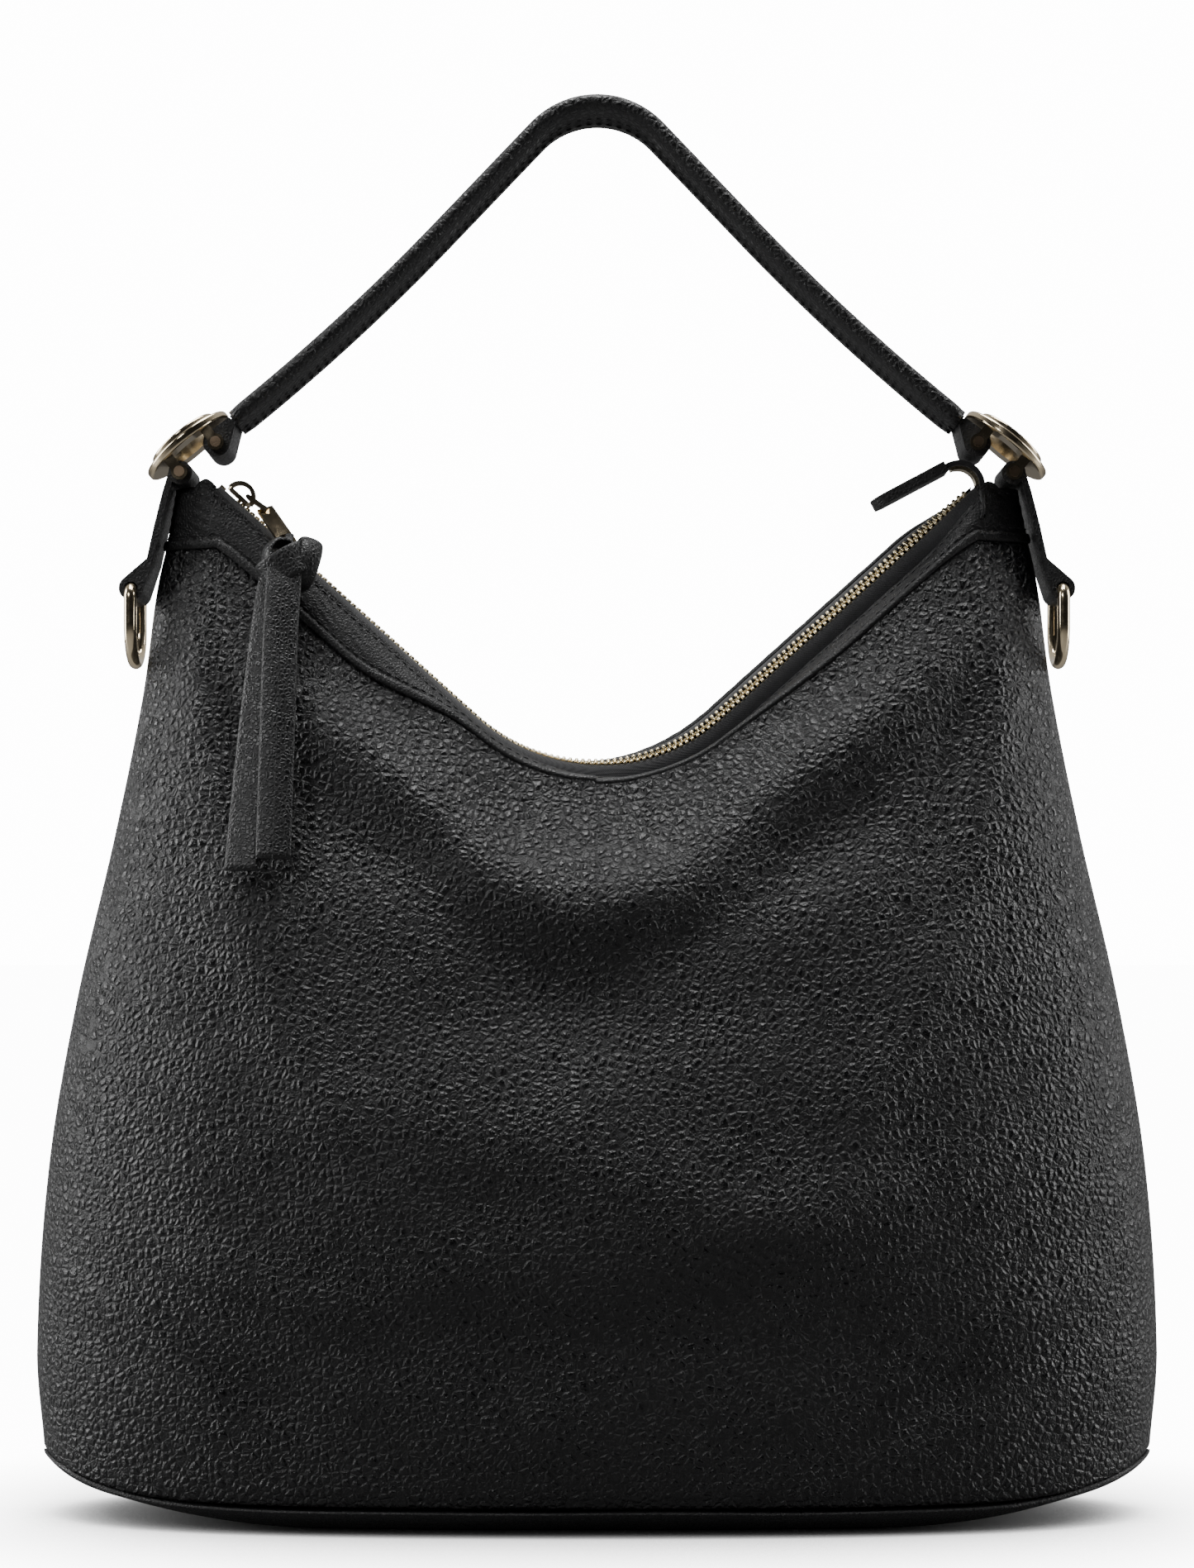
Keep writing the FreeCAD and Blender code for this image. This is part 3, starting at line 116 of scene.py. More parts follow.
def zip_frame(along):
    """Point, direction, direction across and upward normal of the zip at a length along it."""
    if along < RUN:
        angle = -SLOPE
        point = Vector((-ZIP_END_X + along * math.cos(SLOPE), 0,
                        ZIP_END_Z - along * math.sin(SLOPE)))
    elif along < RUN + ROUND_LENGTH:
        angle = -SLOPE + (along - RUN) / ROUND
        point = Vector((ROUND * math.sin(angle), 0, LOW_Z + ROUND * (1 - math.cos(angle))))
    else:
        angle = SLOPE
        x = ROUND_X + (along - RUN - ROUND_LENGTH) * math.cos(SLOPE)
        point = Vector((x, 0, ZIP_END_Z - (ZIP_END_X - x) * math.tan(SLOPE)))
    lean = math.radians(LEAN) * (ease((along - RUN) / ROUND_LENGTH)
                                 - 0.7 * ease((along - ZIP_LENGTH) / 30.0 + 1))
    forward = Vector((math.cos(angle), 0, math.sin(angle)))
    up = Vector((-math.sin(angle), 0, math.cos(angle)))
    level = Vector((0, 1, 0))
    across = level * math.cos(lean) + up * math.sin(lean)
    out = up * math.cos(lean) - level * math.sin(lean)
    return point, forward, across, out


def length_at(x):
    distance = abs(x)
    if distance < ROUND_X:
        half = ROUND * math.asin(distance / ROUND)
    else:
        half = ROUND_LENGTH / 2 + (distance - ROUND_X) / math.cos(SLOPE)
    return ZIP_LENGTH / 2 + math.copysign(half, x)


def seam_point(angle, side):
    """The band's lower seam. It lies close under the zip in the middle and lower at the yokes."""
    x = half_width_at(YOKE_SEAM) * math.sin(angle)
    if x < 0:
        drop = 6.0 + 13.0 * ease((-x - 36) / 45)
    else:
        drop = 7.0 + 8.5 * ease((x - 15) / 70)
    z = zip_height(min(abs(x), ZIP_END_X)) - drop
    soft = 5.0
    z = YOKE_SEAM - soft * math.log(1 + math.exp((YOKE_SEAM - z) / soft))
    if abs(x) > ZIP_END_X - 4:
        z = min(z, YOKE_SEAM)
    return Vector((x, side * plan_depth(angle) * OPEN_HALF_DEPTH, z))


def panel_depth(height):
    return (OPEN_HALF_DEPTH + (BASE_HALF_DEPTH - OPEN_HALF_DEPTH) * (1 - max(height, 0.0) ** 2.5)
            + BELLY * math.sin(math.pi * height))


def panel_point(angle, height, side):
    seam = seam_point(angle, side)
    side_z = CORNER_Z + (YOKE_SEAM - CORNER_Z) * height
    low = base_seam_z(angle)
    return Vector((half_width_at(side_z) * math.sin(angle),
                   side * plan_depth(angle) * panel_depth(height),
                   low + (seam.z - low) * height))


def band_top(angle, side):
    x = (TOP_HALF - 0.2) * math.sin(angle)
    if abs(x) < ZIP_END_X:
        point, forward, across, out = zip_frame(length_at(x))
        return point + across * (side * MOUTH_HALF) - out * MOUTH_DROP
    share = (abs(x) - ZIP_END_X) / (TOP_HALF - ZIP_END_X)
    point, forward, across, out = zip_frame(length_at(math.copysign(ZIP_END_X, x)))
    edge = across * (side * MOUTH_HALF) - out * MOUTH_DROP
    rise = 2.5 * math.sin(math.pi * min(share * 2, 1)) - 1.5 * share
    return Vector((x, edge.y * math.sqrt(max(1 - share * share, 0)),
                   point.z + edge.z * (1 - share) ** 2 + rise))


def band_point(angle, height, side):
    low, high = seam_point(angle, side), band_top(angle, side)
    crown = 1.2 * math.sin(math.pi * height) * abs(math.cos(angle)) ** 0.5
    return low + (high - low) * height + Vector((0, side * crown, 0))


def base_point(angle, across):
    x = half_width_at(CORNER_Z) * math.sin(angle)
    lift = BASE_END_LIFT * (max(abs(x) - BASE_FLAT, 0) / (HALF_WIDTH - BASE_FLAT)) ** 2
    edge = base_seam_z(angle) - BASE_UNDER_SEAM
    return Vector((x, across * plan_depth(angle) * BASE_HALF_DEPTH,
                   lift + (edge - lift) * abs(across) ** BASE_FULLNESS))


# ---------------------------------------------------------------- materials
class Nodes:
    """Short names for making a node tree."""

    def __init__(self, name):
        self.material = bpy.data.materials.new(name)
        self.material.use_nodes = True
        self.tree = self.material.node_tree
        self.shader = self.tree.nodes["Principled BSDF"]
        coordinates = self.tree.nodes.new("ShaderNodeTexCoord")
        self.place = coordinates.outputs["Object"]

    def link(self, source, target):
        self.tree.links.new(source, target)

    def add(self, kind, inputs=(), **settings):
        made = self.tree.nodes.new("ShaderNode" + kind)
        for key, value in settings.items():
            setattr(made, key, value)
        for key, value in dict(inputs).items():
            if hasattr(value, "is_output"):
                self.link(value, made.inputs[key])
            else:
                made.inputs[key].default_value = value
        return made

    def math(self, operation, a, b=0.0, clamp=False):
        made = self.add("Math", {0: a, 1: b}, operation=operation)
        made.use_clamp = clamp
        return made.outputs[0]

    def noise(self, scale, detail=2.0, rough=0.5, place=None):
        return self.add("TexNoise", {"Vector": place or self.place, "Scale": scale,
                                     "Detail": detail, "Roughness": rough}).outputs["Fac"]

    def cell_edges(self, scale, place):
        return self.add("TexVoronoi", {"Vector": place, "Scale": scale},
                        feature="DISTANCE_TO_EDGE").outputs["Distance"]

    def remap(self, value, low, high, to_low=0.0, to_high=1.0):
        made = self.add("MapRange", {"Value": value, "From Min": low, "From Max": high,
                                     "To Min": to_low, "To Max": to_high})
        made.interpolation_type = "SMOOTHSTEP"
        return made.outputs["Result"]

    def mix_colour(self, share, a, b):
        made = self.add("Mix", data_type="RGBA")
        self.link(share, made.inputs[0])
        made.inputs[6].default_value = (*a, 1)
        made.inputs[7].default_value = (*b, 1)
        return made.outputs[2]

    def bump(self, height, distance, strength=1.0, under=None):
        made = self.add("Bump", {"Height": height, "Distance": distance, "Strength": strength})
        if under is not None:
            self.link(under, made.inputs["Normal"])
        return made.outputs["Normal"]

    def shifted(self, scale, amount):
        """The place, moved a little by noise, so that a pattern isn't regular."""
        noise = self.add("TexNoise", {"Vector": self.place, "Scale": scale, "Detail": 2.0})
        centred = self.add("VectorMath", {0: noise.outputs["Color"], 1: (0.5, 0.5, 0.5)},
                           operation="SUBTRACT")
        moved = self.add("VectorMath", {0: centred.outputs[0]}, operation="SCALE")
        moved.inputs["Scale"].default_value = amount
        return self.add("VectorMath", {0: self.place, 1: moved.outputs[0]},
                        operation="ADD").outputs[0]

    def finish(self, colour=None, rough=None, normal=None, **fixed):
        for key, value in (("Base Color", colour), ("Roughness", rough), ("Normal", normal)):
            if value is None:
                continue
            if hasattr(value, "is_output"):
                self.link(value, self.shader.inputs[key])
            else:
                self.shader.inputs[key].default_value = value
        for key, value in fixed.items():
            self.shader.inputs[key.replace("_", " ")].default_value = value
        return self.material


def leather(name, cell, depth, rough):
    """Black leather: pebbles over fine pores, with painted shade making the creases between them dark.
    """
    n = Nodes(name)
    place = n.shifted(1.2 / cell, cell * 0.45)
    edge = n.cell_edges(1 / cell, place)
    small = n.cell_edges(2.6 / cell, place)
    dome = n.math("POWER", n.remap(edge, 0.0, 0.42), 0.7)
    lesser = n.remap(small, 0.0, 0.30)
    pebble = n.math("ADD", n.math("MULTIPLY", dome, 0.86), n.math("MULTIPLY", lesser, 0.14))
    vary = n.noise(0.12 / cell, 3.0)
    fine = n.noise(9 / cell, 3.0, 0.6)
    # painted shade: the colour darkens in the creases between pebbles
    crease = n.remap(edge, 0.0, 0.12)
    colour = n.mix_colour(crease, (0.0015, 0.0015, 0.0018), (0.0030, 0.0030, 0.0035))
    shine = n.math("ADD", n.remap(edge, 0.0, 0.3, rough[1], rough[0]),
                   n.remap(vary, 0.3, 0.7, -0.05, 0.06))
    normal = n.bump(fine, depth * 0.12, 0.5)
    normal = n.bump(pebble, depth, 1.0, normal)
    return n.finish(colour, shine, normal, Specular_IOR_Level=0.5)


def creased_leather(name, cell, depth, rough=(0.36, 0.55)):
    """Smoother black leather: fine creases and pores, with painted shade darkening the creases."""
    n = Nodes(name)
    place = n.shifted(0.8 / cell, cell * 0.6)
    edge = n.cell_edges(1 / cell, place)
    dome = n.remap(edge, 0.0, 0.3)
    fine = n.noise(6 / cell, 4.0, 0.6)
    worn = n.noise(0.06 / cell, 3.0)
    # painted shade: the colour is darker towards the cell edges, in the creases
    colour = n.mix_colour(dome, (0.0025, 0.0025, 0.0028), (0.0055, 0.0055, 0.006))
    shine = n.math("ADD", n.remap(dome, 0.0, 1.0, rough[1], rough[0]),
                   n.remap(worn, 0.3, 0.7, -0.06, 0.08))
    normal = n.bump(fine, depth * 0.35, 0.6)
    normal = n.bump(dome, depth, 0.8, normal)
    return n.finish(colour, shine, normal, Specular_IOR_Level=0.5)


def metal(name, colour, rough, scratch=1.0):
    """Plated metal with fine handling marks and slightly uneven shine."""
    n = Nodes(name)
    fine = n.noise(2500, 2.0)
    broad = n.noise(180, 3.0)
    shine = n.math("ADD", n.remap(broad, 0.35, 0.7, rough - 0.03, rough + 0.06),
                   n.remap(fine, 0.5, 0.8, 0.0, 0.05 * scratch))
    tint = n.mix_colour(broad, tuple(c * 0.93 for c in colour), colour)
    normal = n.bump(fine, 0.00002 * scratch, 0.35)
    return n.finish(tint, shine, normal, Metallic=1.0)


def cloth(name, colour, pitch, rough=0.85):
    """Woven cloth: two crossing sets of threads."""
    n = Nodes(name)
    parts = n.add("SeparateXYZ", {0: n.place})
    one = n.math("SINE", n.math("MULTIPLY", n.math("ADD", parts.outputs[0], parts.outputs[2]),
                                2 * math.pi / pitch))
    two = n.math("SINE", n.math("MULTIPLY", n.math("SUBTRACT", parts.outputs[1], parts.outputs[2]),
                                2 * math.pi / pitch))
    weave = n.math("MAXIMUM", one, two)
    fuzz = n.noise(4 / pitch, 2.0)
    height = n.math("ADD", weave, fuzz)
    # partly random tone from the fuzz, partly painted shade: darker where the weave is low, between
    # the threads
    tint = n.mix_colour(n.remap(height, -0.2, 1.4), tuple(c * 0.55 for c in colour), colour)
    return n.finish(tint, rough, n.bump(height, pitch * 0.2, 0.7), Sheen_Weight=0.3)


def thread(name, colour):
    n = Nodes(name)
    twist = n.noise(6000, 1.0)
    # partly random tone, partly painted shade: darker where the twist's bump is low
    tint = n.mix_colour(twist, tuple(c * 0.6 for c in colour), colour)
    return n.finish(tint, 0.55, n.bump(twist, 0.00006, 0.6))


PEBBLED = leather("pebbled_leather", 0.0025, 0.0005, rough=(0.25, 0.5))
HANDLE_LEATHER = leather("handle_leather", 0.0024, 0.0003, rough=(0.34, 0.55))
SMOOTH = creased_leather("smooth_leather", 0.0011, 0.00012)
TASSEL = creased_leather("tassel_leather", 0.0013, 0.00016, rough=(0.30, 0.5))
GOLD = metal("gold_hardware", (0.86, 0.72, 0.50), 0.13)
TEETH = metal("zip_teeth", (0.84, 0.73, 0.50), 0.22)
PIN = metal("pin_metal", (0.30, 0.22, 0.15), 0.3, 2.0)
TAPE = cloth("zip_tape", (0.012, 0.012, 0.014), 0.0006)
LINING = cloth("lining_cloth", (0.10, 0.085, 0.07), 0.0008)
BOARD = cloth("stiffener", (0.05, 0.045, 0.04), 0.0012, 0.9)
FILLER = creased_leather("handle_filler", 0.0015, 0.0001, rough=(0.7, 0.8))
THREAD = thread("thread", (0.012, 0.012, 0.013))


# ---------------------------------------------------------------- mesh helpers
def new_object(name, points, faces, material, body, nodes=(), smooth=True):
    mesh = bpy.data.meshes.new(name)
    mesh.from_pydata([tuple(c * MM for c in p) for p in points], [], faces)
    mesh.validate()
    made = bmesh.new()
    made.from_mesh(mesh)
    bmesh.ops.recalc_face_normals(made, faces=made.faces)
    made.to_mesh(mesh)
    made.free()
    for face in mesh.polygons:
        face.use_smooth = smooth
    thing = bpy.data.objects.new(name, mesh)
    bpy.context.scene.collection.objects.link(thing)
    mesh.materials.append(material)
    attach(thing, body)
    if nodes:
        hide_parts(*nodes)
    return thing


def grid_normals(grid):
    """Normals of a grid of points, from differences between its neighbours."""
    along = np.gradient(grid, axis=0)
    across = np.gradient(grid, axis=1)
    normals = np.cross(along, across)
    length = np.linalg.norm(normals, axis=2, keepdims=True)
    return normals / np.maximum(length, 1e-9)


def shell_from_grid(outer, inner):
    """Points and faces of a closed thin piece between two grids of the same size."""
    rows, columns = outer.shape[:2]
    points = np.concatenate([outer.reshape(-1, 3), inner.reshape(-1, 3)])
    shift = rows * columns

    def at(i, j, layer):
        return layer * shift + i * columns + j

    faces = []
    for i in range(rows - 1):
        for j in range(columns - 1):
            faces.append((at(i, j, 0), at(i, j + 1, 0), at(i + 1, j + 1, 0), at(i + 1, j, 0)))
            faces.append((at(i, j, 1), at(i + 1, j, 1), at(i + 1, j + 1, 1), at(i, j + 1, 1)))
    for i in range(rows - 1):
        for j in (0, columns - 1):
            faces.append((at(i, j, 0), at(i + 1, j, 0), at(i + 1, j, 1), at(i, j, 1)))
    for j in range(columns - 1):
        for i in (0, rows - 1):
            faces.append((at(i, j, 0), at(i, j, 1), at(i, j + 1, 1), at(i, j + 1, 0)))
    return points, faces


def tube_faces(rings, count, closed_ends=True):
    faces = []
    for i in range(rings - 1):
        for j in range(count):
            k = (j + 1) % count
            faces.append((i * count + j, i * count + k, (i + 1) * count + k, (i + 1) * count + j))
    if closed_ends:
        faces.append(tuple(range(count)))
        faces.append(tuple(range((rings - 1) * count, rings * count)))
    return faces


def stitches(name, places, length, radius, material, body):
    """Short rounded threads: places holds (middle, direction, outward normal) for each."""
    points, faces = [], []
    ring, steps = 6, 5
    for middle, way, out in places:
        side = way.cross(out).normalized()
        start = len(points)
        for i in range(steps):
            share = i / (steps - 1)
            swell = math.sqrt(max(1 - (2 * share - 1) ** 4, 0.05))
            centre = middle + way * ((share - 0.5) * length) \
                + out * (radius * 0.9 * math.sin(math.pi * share) - radius * 0.4)
            for j in range(ring):
                a = 2 * math.pi * j / ring
                points.append(centre + (side * math.cos(a) + out * math.sin(a)) * radius * swell)
        faces += [tuple(start + k for k in face) for face in tube_faces(steps, ring)]
    return new_object(name, points, faces, material, body)


def along_path(samples, pitch, offset=0.0):
    """Evenly spaced (point, direction, normal) along a list of (point, normal)."""
    made, travelled, wanted = [], 0.0, offset
    for (a, na), (b, nb) in zip(samples, samples[1:]):
        step = (b - a).length
        while step > 0 and wanted <= travelled + step:
            share = (wanted - travelled) / step
            made.append((a.lerp(b, share), (b - a).normalized(), na.lerp(nb, share).normalized()))
            wanted += pitch
        travelled += step
    return made


# ---------------------------------------------------------------- the leather body
def hills(x, z, parts):
    """Soft hills and hollows: (x, z, half-length, half-width, turn in degrees, height)."""
    total = 0.0
    for cx, cz, long_way, short_way, turn, height in parts:
        a = math.radians(turn)
        u = (x - cx) * math.cos(a) + (z - cz) * math.sin(a)
        v = -(x - cx) * math.sin(a) + (z - cz) * math.cos(a)
        total += height * math.exp(-(u / long_way) ** 2 - (v / short_way) ** 2)
    return total


def ripple(x, z):
    """Slow unevenness of slack leather."""
    return (0.5 * math.sin(x / 23 + 1.3 * math.sin(z / 31)) * math.sin(z / 37 + 0.6)
            + 0.35 * math.sin(x / 13 - z / 19 + 2.1) * math.sin(z / 15 + x / 47)
            + 0.22 * math.sin(x / 7.5 + z / 11) * math.sin(z / 8.5 - x / 21 + 0.8))


FRONT_FOLDS = [
    (-72, 240, 62, 12, -38, 6.0), (74, 244, 62, 12, 37, 6.0), (0, 199, 46, 17, 0, 8.0),
    (-62, 205, 60, 12, -36, -3.0), (64, 208, 60, 12, 35, -3.0), (0, 160, 60, 16, 0, -2.4),
    (-128, 262, 40, 8, -78, 3.0), (130, 262, 42, 9, 80, 3.2), (-112, 250, 38, 7, -74, -2.4),
    (114, 248, 40, 7, 76, -2.4), (-140, 62, 30, 5, -32, 3.2), (-120, 52, 34, 5, -30, -2.8),
    (-104, 78, 40, 8, -20, 2.0), (136, 66, 32, 7, 34, 2.6), (118, 50, 34, 7, 30, -2.2),
    (-30, 120, 80, 15, -14, 2.0), (52, 96, 76, 14, 10, 2.0), (0, 60, 110, 17, 0, -2.0),
    (-92, 150, 56, 11, -62, 2.0), (96, 152, 58, 11, 62, 2.2)]
BACK_FOLDS = [
    (-60, 228, 60, 14, -38, 3.4), (58, 230, 64, 14, 40, 3.8), (4, 190, 50, 16, 2, 4.0),
    (-126, 250, 40, 10, -78, 1.8), (124, 256, 40, 10, 80, 2.0), (-110, 66, 36, 8, 28, 1.8),
    (122, 60, 36, 8, -30, 2.0), (0, 100, 90, 18, 6, 1.4), (-20, 62, 100, 16, -6, -1.2)]


def leather_panel(name, side, folds):
    columns, rows = ((300, 220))
    outer = np.zeros((columns + 1, rows + 1, 3))
    for i in range(columns + 1):
        angle = math.radians(-89.9 + 179.8 * i / columns)
        fade = abs(math.cos(angle)) ** 0.8
        for j in range(rows + 1):
            height = j / rows
            p = panel_point(angle, height, side)
            ends = min(height / 0.10, (1 - height) / 0.05, 1.0)
            push = (hills(p.x, p.z, folds) + ripple(p.x * side, p.z)) * fade * ease(ends)
            gather_room = ease((abs(p.x) - 84) / 22) * math.exp(-((1 - height) / 0.11) ** 2)
            push += (0.34 * math.sin(p.x * 1.55 + 2.2 * math.sin(p.x / 9.0)) * gather_room
                     * ease((1 - height) / 0.01) * fade)
            push -= 0.8 * math.exp(-(height / 0.012) ** 2) * fade
            outer[i, j] = (p.x, p.y + side * push, p.z)
    normals = grid_normals(outer)
    if normals[columns // 2, rows // 2, 1] * side > 0:
        normals = -normals
    inner = outer + normals * PANEL_SKIN
    for skin in (outer, inner):
        skin[:, :, 1] = side * np.maximum(side * skin[:, :, 1], 0) + side * SIDE_GAP
    points, faces = shell_from_grid(outer, inner)
    return new_object(name, points, faces, PEBBLED, "bag", [name.replace("leather_", "") + "_panel"])


leather_panel("leather_front", -1, FRONT_FOLDS)
leather_panel("leather_back", 1, BACK_FOLDS)


def lip(distance, width=3.4, height=1.1):
    """Rounded raised edge of the band along its lower seam."""
    share = distance / width
    if share >= 1:
        return -0.15 * math.exp(-((distance - width) / 0.8) ** 2)
    return height * math.sqrt(max(1 - (2 * share - 1) ** 2, 0)) ** 0.8


def band(name, side, node):
    columns, rows = ((420, 40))
    outer = np.zeros((columns + 1, rows + 1, 3))
    for i in range(columns + 1):
        angle = math.radians(-89.7 + 179.4 * i / columns)
        for j in range(rows + 1):
            outer[i, j] = band_point(angle, -0.03 + 1.03 * (j / rows) ** 1.25, side)
    normals = grid_normals(outer)
    if normals[columns // 2, rows // 2, 1] * side < 0:
        normals = -normals
    shaped = outer.copy()
    for i in range(columns + 1):
        ends = ease(min(i, columns - i) / 5)
        start = outer[i, 0]
        for j in range(rows + 1):
            distance = float(np.linalg.norm(outer[i, j] - start))
            to_top = float(np.linalg.norm(outer[i, j] - outer[i, rows]))
            push = lip(distance) * ends
            push += 0.25 * ease(1 - to_top / 1.2) * ends
            x = outer[i, j, 0]
            push += 0.10 * math.sin(x * 0.9 + distance * 1.7) * math.sin(x * 0.31) * ease(distance / 5)
            shaped[i, j] += normals[i, j] * push
    inner = outer - normals * BAND_SKIN
    for skin in (shaped, inner):
        skin[:, :, 1] = side * np.maximum(side * skin[:, :, 1], 0) + side * SIDE_GAP
    points, faces = shell_from_grid(shaped, inner)
    thing = new_object(name, points, faces, SMOOTH, "bag", [node])
    for label, reach, from_top in (("lower", 4.6, False), ("upper", 1.7, True)):
        samples = []
        for i in range(6, columns - 5):
            row = shaped[i]
            base = row[rows] if from_top else row[0]
            gaps = np.linalg.norm(row - base, axis=1)
            j = int(np.argmin(np.abs(gaps - reach)))
            samples.append((Vector(row[j]), Vector(normals[i, j])))
        stitches(name + "_stitches_" + label, along_path(samples, 3.1, 1.5), 2.3, 0.26, THREAD,
                 "bag")
    return thing


band("leather_band_front", -1, "zip_band_front")
band("leather_band_back", 1, "zip_band_back")


def base():
    columns, rows = (200, 60)
    outer = np.zeros((columns + 1, rows + 1, 3))
    for i in range(columns + 1):
        angle = math.radians(-86 + 172 * i / columns)
        for j in range(rows + 1):
            across = math.sin(math.radians(-90 + 180 * j / rows))
            p = base_point(angle, across)
            wave = 0.25 * math.sin(p.x / 17 + 0.7) * math.sin(p.y / 9 + p.x / 60) * ease(p.z / 4)
            outer[i, j] = (p.x, p.y, max(p.z + wave, 0))
    normals = grid_normals(outer)
    if normals[columns // 2, rows // 2, 2] < 0:
        normals = -normals
    inner = outer + normals * BASE_SKIN
    points, faces = shell_from_grid(outer, inner)
    return new_object("leather_base", points, faces, SMOOTH, "bag", ["base_panel"])


base()


# ---------------------------------------------------------------- the handle
PIN_LOW = Vector((TOP_HALF - 2.6, 0, ZIP_END_Z + 3.1))
TILT = math.radians(39.3)
PIN_HIGH = PIN_LOW + Vector((-math.cos(TILT), 0, math.sin(TILT))) * 14.9
HANDLE_END = PIN_HIGH + Vector((-5.4, 0, 7.8))
HANDLE_WIDTH, HANDLE_THICK = 28.0, 6.4


def handle_line(count):
    """Middle line of the handle's right half, from its top to its end: (point, direction)."""
    top = PIN_HIGH.z + 111.6 - HANDLE_THICK / 2
    bend, turn, leg = 30.0 - HANDLE_THICK / 2, math.radians(7.5), 690.0
    chord = 2 * leg * math.sin(turn / 2)
    drop = top - HANDLE_END.z

    def shoulder(angle):
        return ((HANDLE_END.x - bend * math.sin(angle) - chord * math.cos(angle - turn / 2))
                / math.cos(angle))

    def miss(angle):
        return (bend * (1 - math.cos(angle)) + shoulder(angle) * math.sin(angle)
                + chord * math.sin(angle - turn / 2) - drop)

    low, high = math.radians(15), math.radians(70)
    for _ in range(60):
        angle = (low + high) / 2
        if miss(angle) < 0:
            low = angle
        else:
            high = angle
    round_part, straight, slow = bend * angle, shoulder(angle), leg * turn
    total = round_part + straight + slow
    a = Vector((bend * math.sin(angle), 0, top - bend * (1 - math.cos(angle))))
    b = a + Vector((math.cos(angle), 0, -math.sin(angle))) * straight
    made = []
    for i in range(count + 1):
        s = total * i / count
        if s < round_part:
            t = s / bend
            point = Vector((bend * math.sin(t), 0, top - bend * (1 - math.cos(t))))
        elif s < round_part + straight:
            t = angle
            point = a + Vector((math.cos(t), 0, -math.sin(t))) * (s - round_part)
        else:
            done = (s - round_part - straight) / leg
            t = angle - done
            reach = 2 * leg * math.sin(done / 2)
            point = b + Vector((math.cos(angle - done / 2), 0, -math.sin(angle - done / 2))) * reach
        made.append((point, Vector((math.cos(t), 0, -math.sin(t)))))
    return made


def handle():
    """A padded strap: rounded edges, a slightly hollow underside and a seam along its middle."""
    half = handle_line(90)
    whole = [(Vector((-p.x, 0, p.z)), Vector((d.x, 0, -d.z))) for p, d in reversed(half[1:])] + half
    ring = 56
    points = []
    under = {-1: [], 1: []}
    for index, (point, way) in enumerate(whole):
        out = Vector((-way.z, 0, way.x))
        ends = ease(min(index, len(whole) - 1 - index) / 2.5)
        for j in range(ring):
            a = 2 * math.pi * j / ring
            c, s = math.cos(a), math.sin(a)
            y = HANDLE_WIDTH / 2 * math.copysign(abs(c) ** 0.62, c)
            z = HANDLE_THICK / 2 * math.copysign(abs(s) ** 0.72, s)
            if s < 0:
                z += 1.1 * math.exp(-(y / 0.7) ** 2) - 0.35 * math.exp(-((abs(y) - 2.6) / 1.3) ** 2)
            squeeze = 0.93 + 0.07 * ends
            points.append(point + Vector((0, y * squeeze, 0)) + out * z * squeeze)
        for row in (-1, 1):
            under[row].append((point + Vector((0, row * 3.4, 0)) - out * (HANDLE_THICK / 2 + 0.05),
                               -out))
    faces = tube_faces(len(whole), ring)
    thing = new_object("leather_handle", points, faces, HANDLE_LEATHER, "handle", ["handle_cover"])
    for row, label in ((-1, "front"), (1, "back")):
        stitches("handle_stitches_" + label, along_path(under[row], 3.3, 2.0), 2.4, 0.3, THREAD,
                 "handle")
    return thing


handle()


# ---------------------------------------------------------------- the zip's chain and tapes
def zip_teeth():
    """Cast teeth with rounded edges, their heads hooked past the middle of the chain."""
    stations = ((2.2, 0.78), (1.95, 1.0), (0.95, 1.0), (0.7, 0.74), (-0.3, 0.74), (-0.55, 0.5))
    ring = 8
    start = 8.0
    count = int((ZIP_LENGTH - 2.0 - start) / TOOTH_PITCH)
    for name, side in (("front", -1), ("back", 1)):
        points, faces = [], []
        for i in range(count):
            along = start + (i + (0.5 if side > 0 else 0.0)) * TOOTH_PITCH
            point, forward, across, out = zip_frame(along)
            first = len(points)
            for reach, size in stations:
                for j in range(ring):
                    a = 2 * math.pi * (j + 0.5) / ring
                    u = math.copysign(abs(math.cos(a)) ** 0.6, math.cos(a)) * 0.64 * size
                    v = math.copysign(abs(math.sin(a)) ** 0.6, math.sin(a)) * 1.12 * size
                    points.append(point + across * (side * reach) + forward * u + out * v)
            faces += [tuple(first + k for k in face) for face in tube_faces(len(stations), ring)]
        new_object("chain_teeth_" + name, points, faces, TEETH, "bag", ["zip_teeth_" + name])


def zip_tapes():
    """Woven tapes from under the teeth to under the band."""
    for name, side in (("front", -1), ("back", 1)):
        columns, rows = 260, 10
        outer = np.zeros((columns + 1, rows + 1, 3))
        for i in range(columns + 1):
            along = 0.6 + (ZIP_LENGTH - 1.2) * i / columns
            point, forward, across, out = zip_frame(along)
            angle = math.asin(point.x / (TOP_HALF - 0.2))
            edge = band_top(angle, side)
            beside = point + across * (side * 1.9) + out * 0.25
            fold = point + across * (side * 5.6) + out * 0.1
            under = edge - out * 3.0 + across * (side * 0.6)
            for j in range(rows + 1):
                t = j / rows
                outer[i, j] = beside * (1 - t) ** 2 + fold * (2 * t * (1 - t)) + under * t * t
        normals = grid_normals(outer)
        if normals[columns // 2, 1, 2] > 0:
            normals = -normals
        points, faces = shell_from_grid(outer, outer + normals * TAPE_SKIN)
        new_object("woven_tape_" + name, points, faces, TAPE, "bag", ["zip_tape_" + name])


zip_teeth()
zip_tapes()


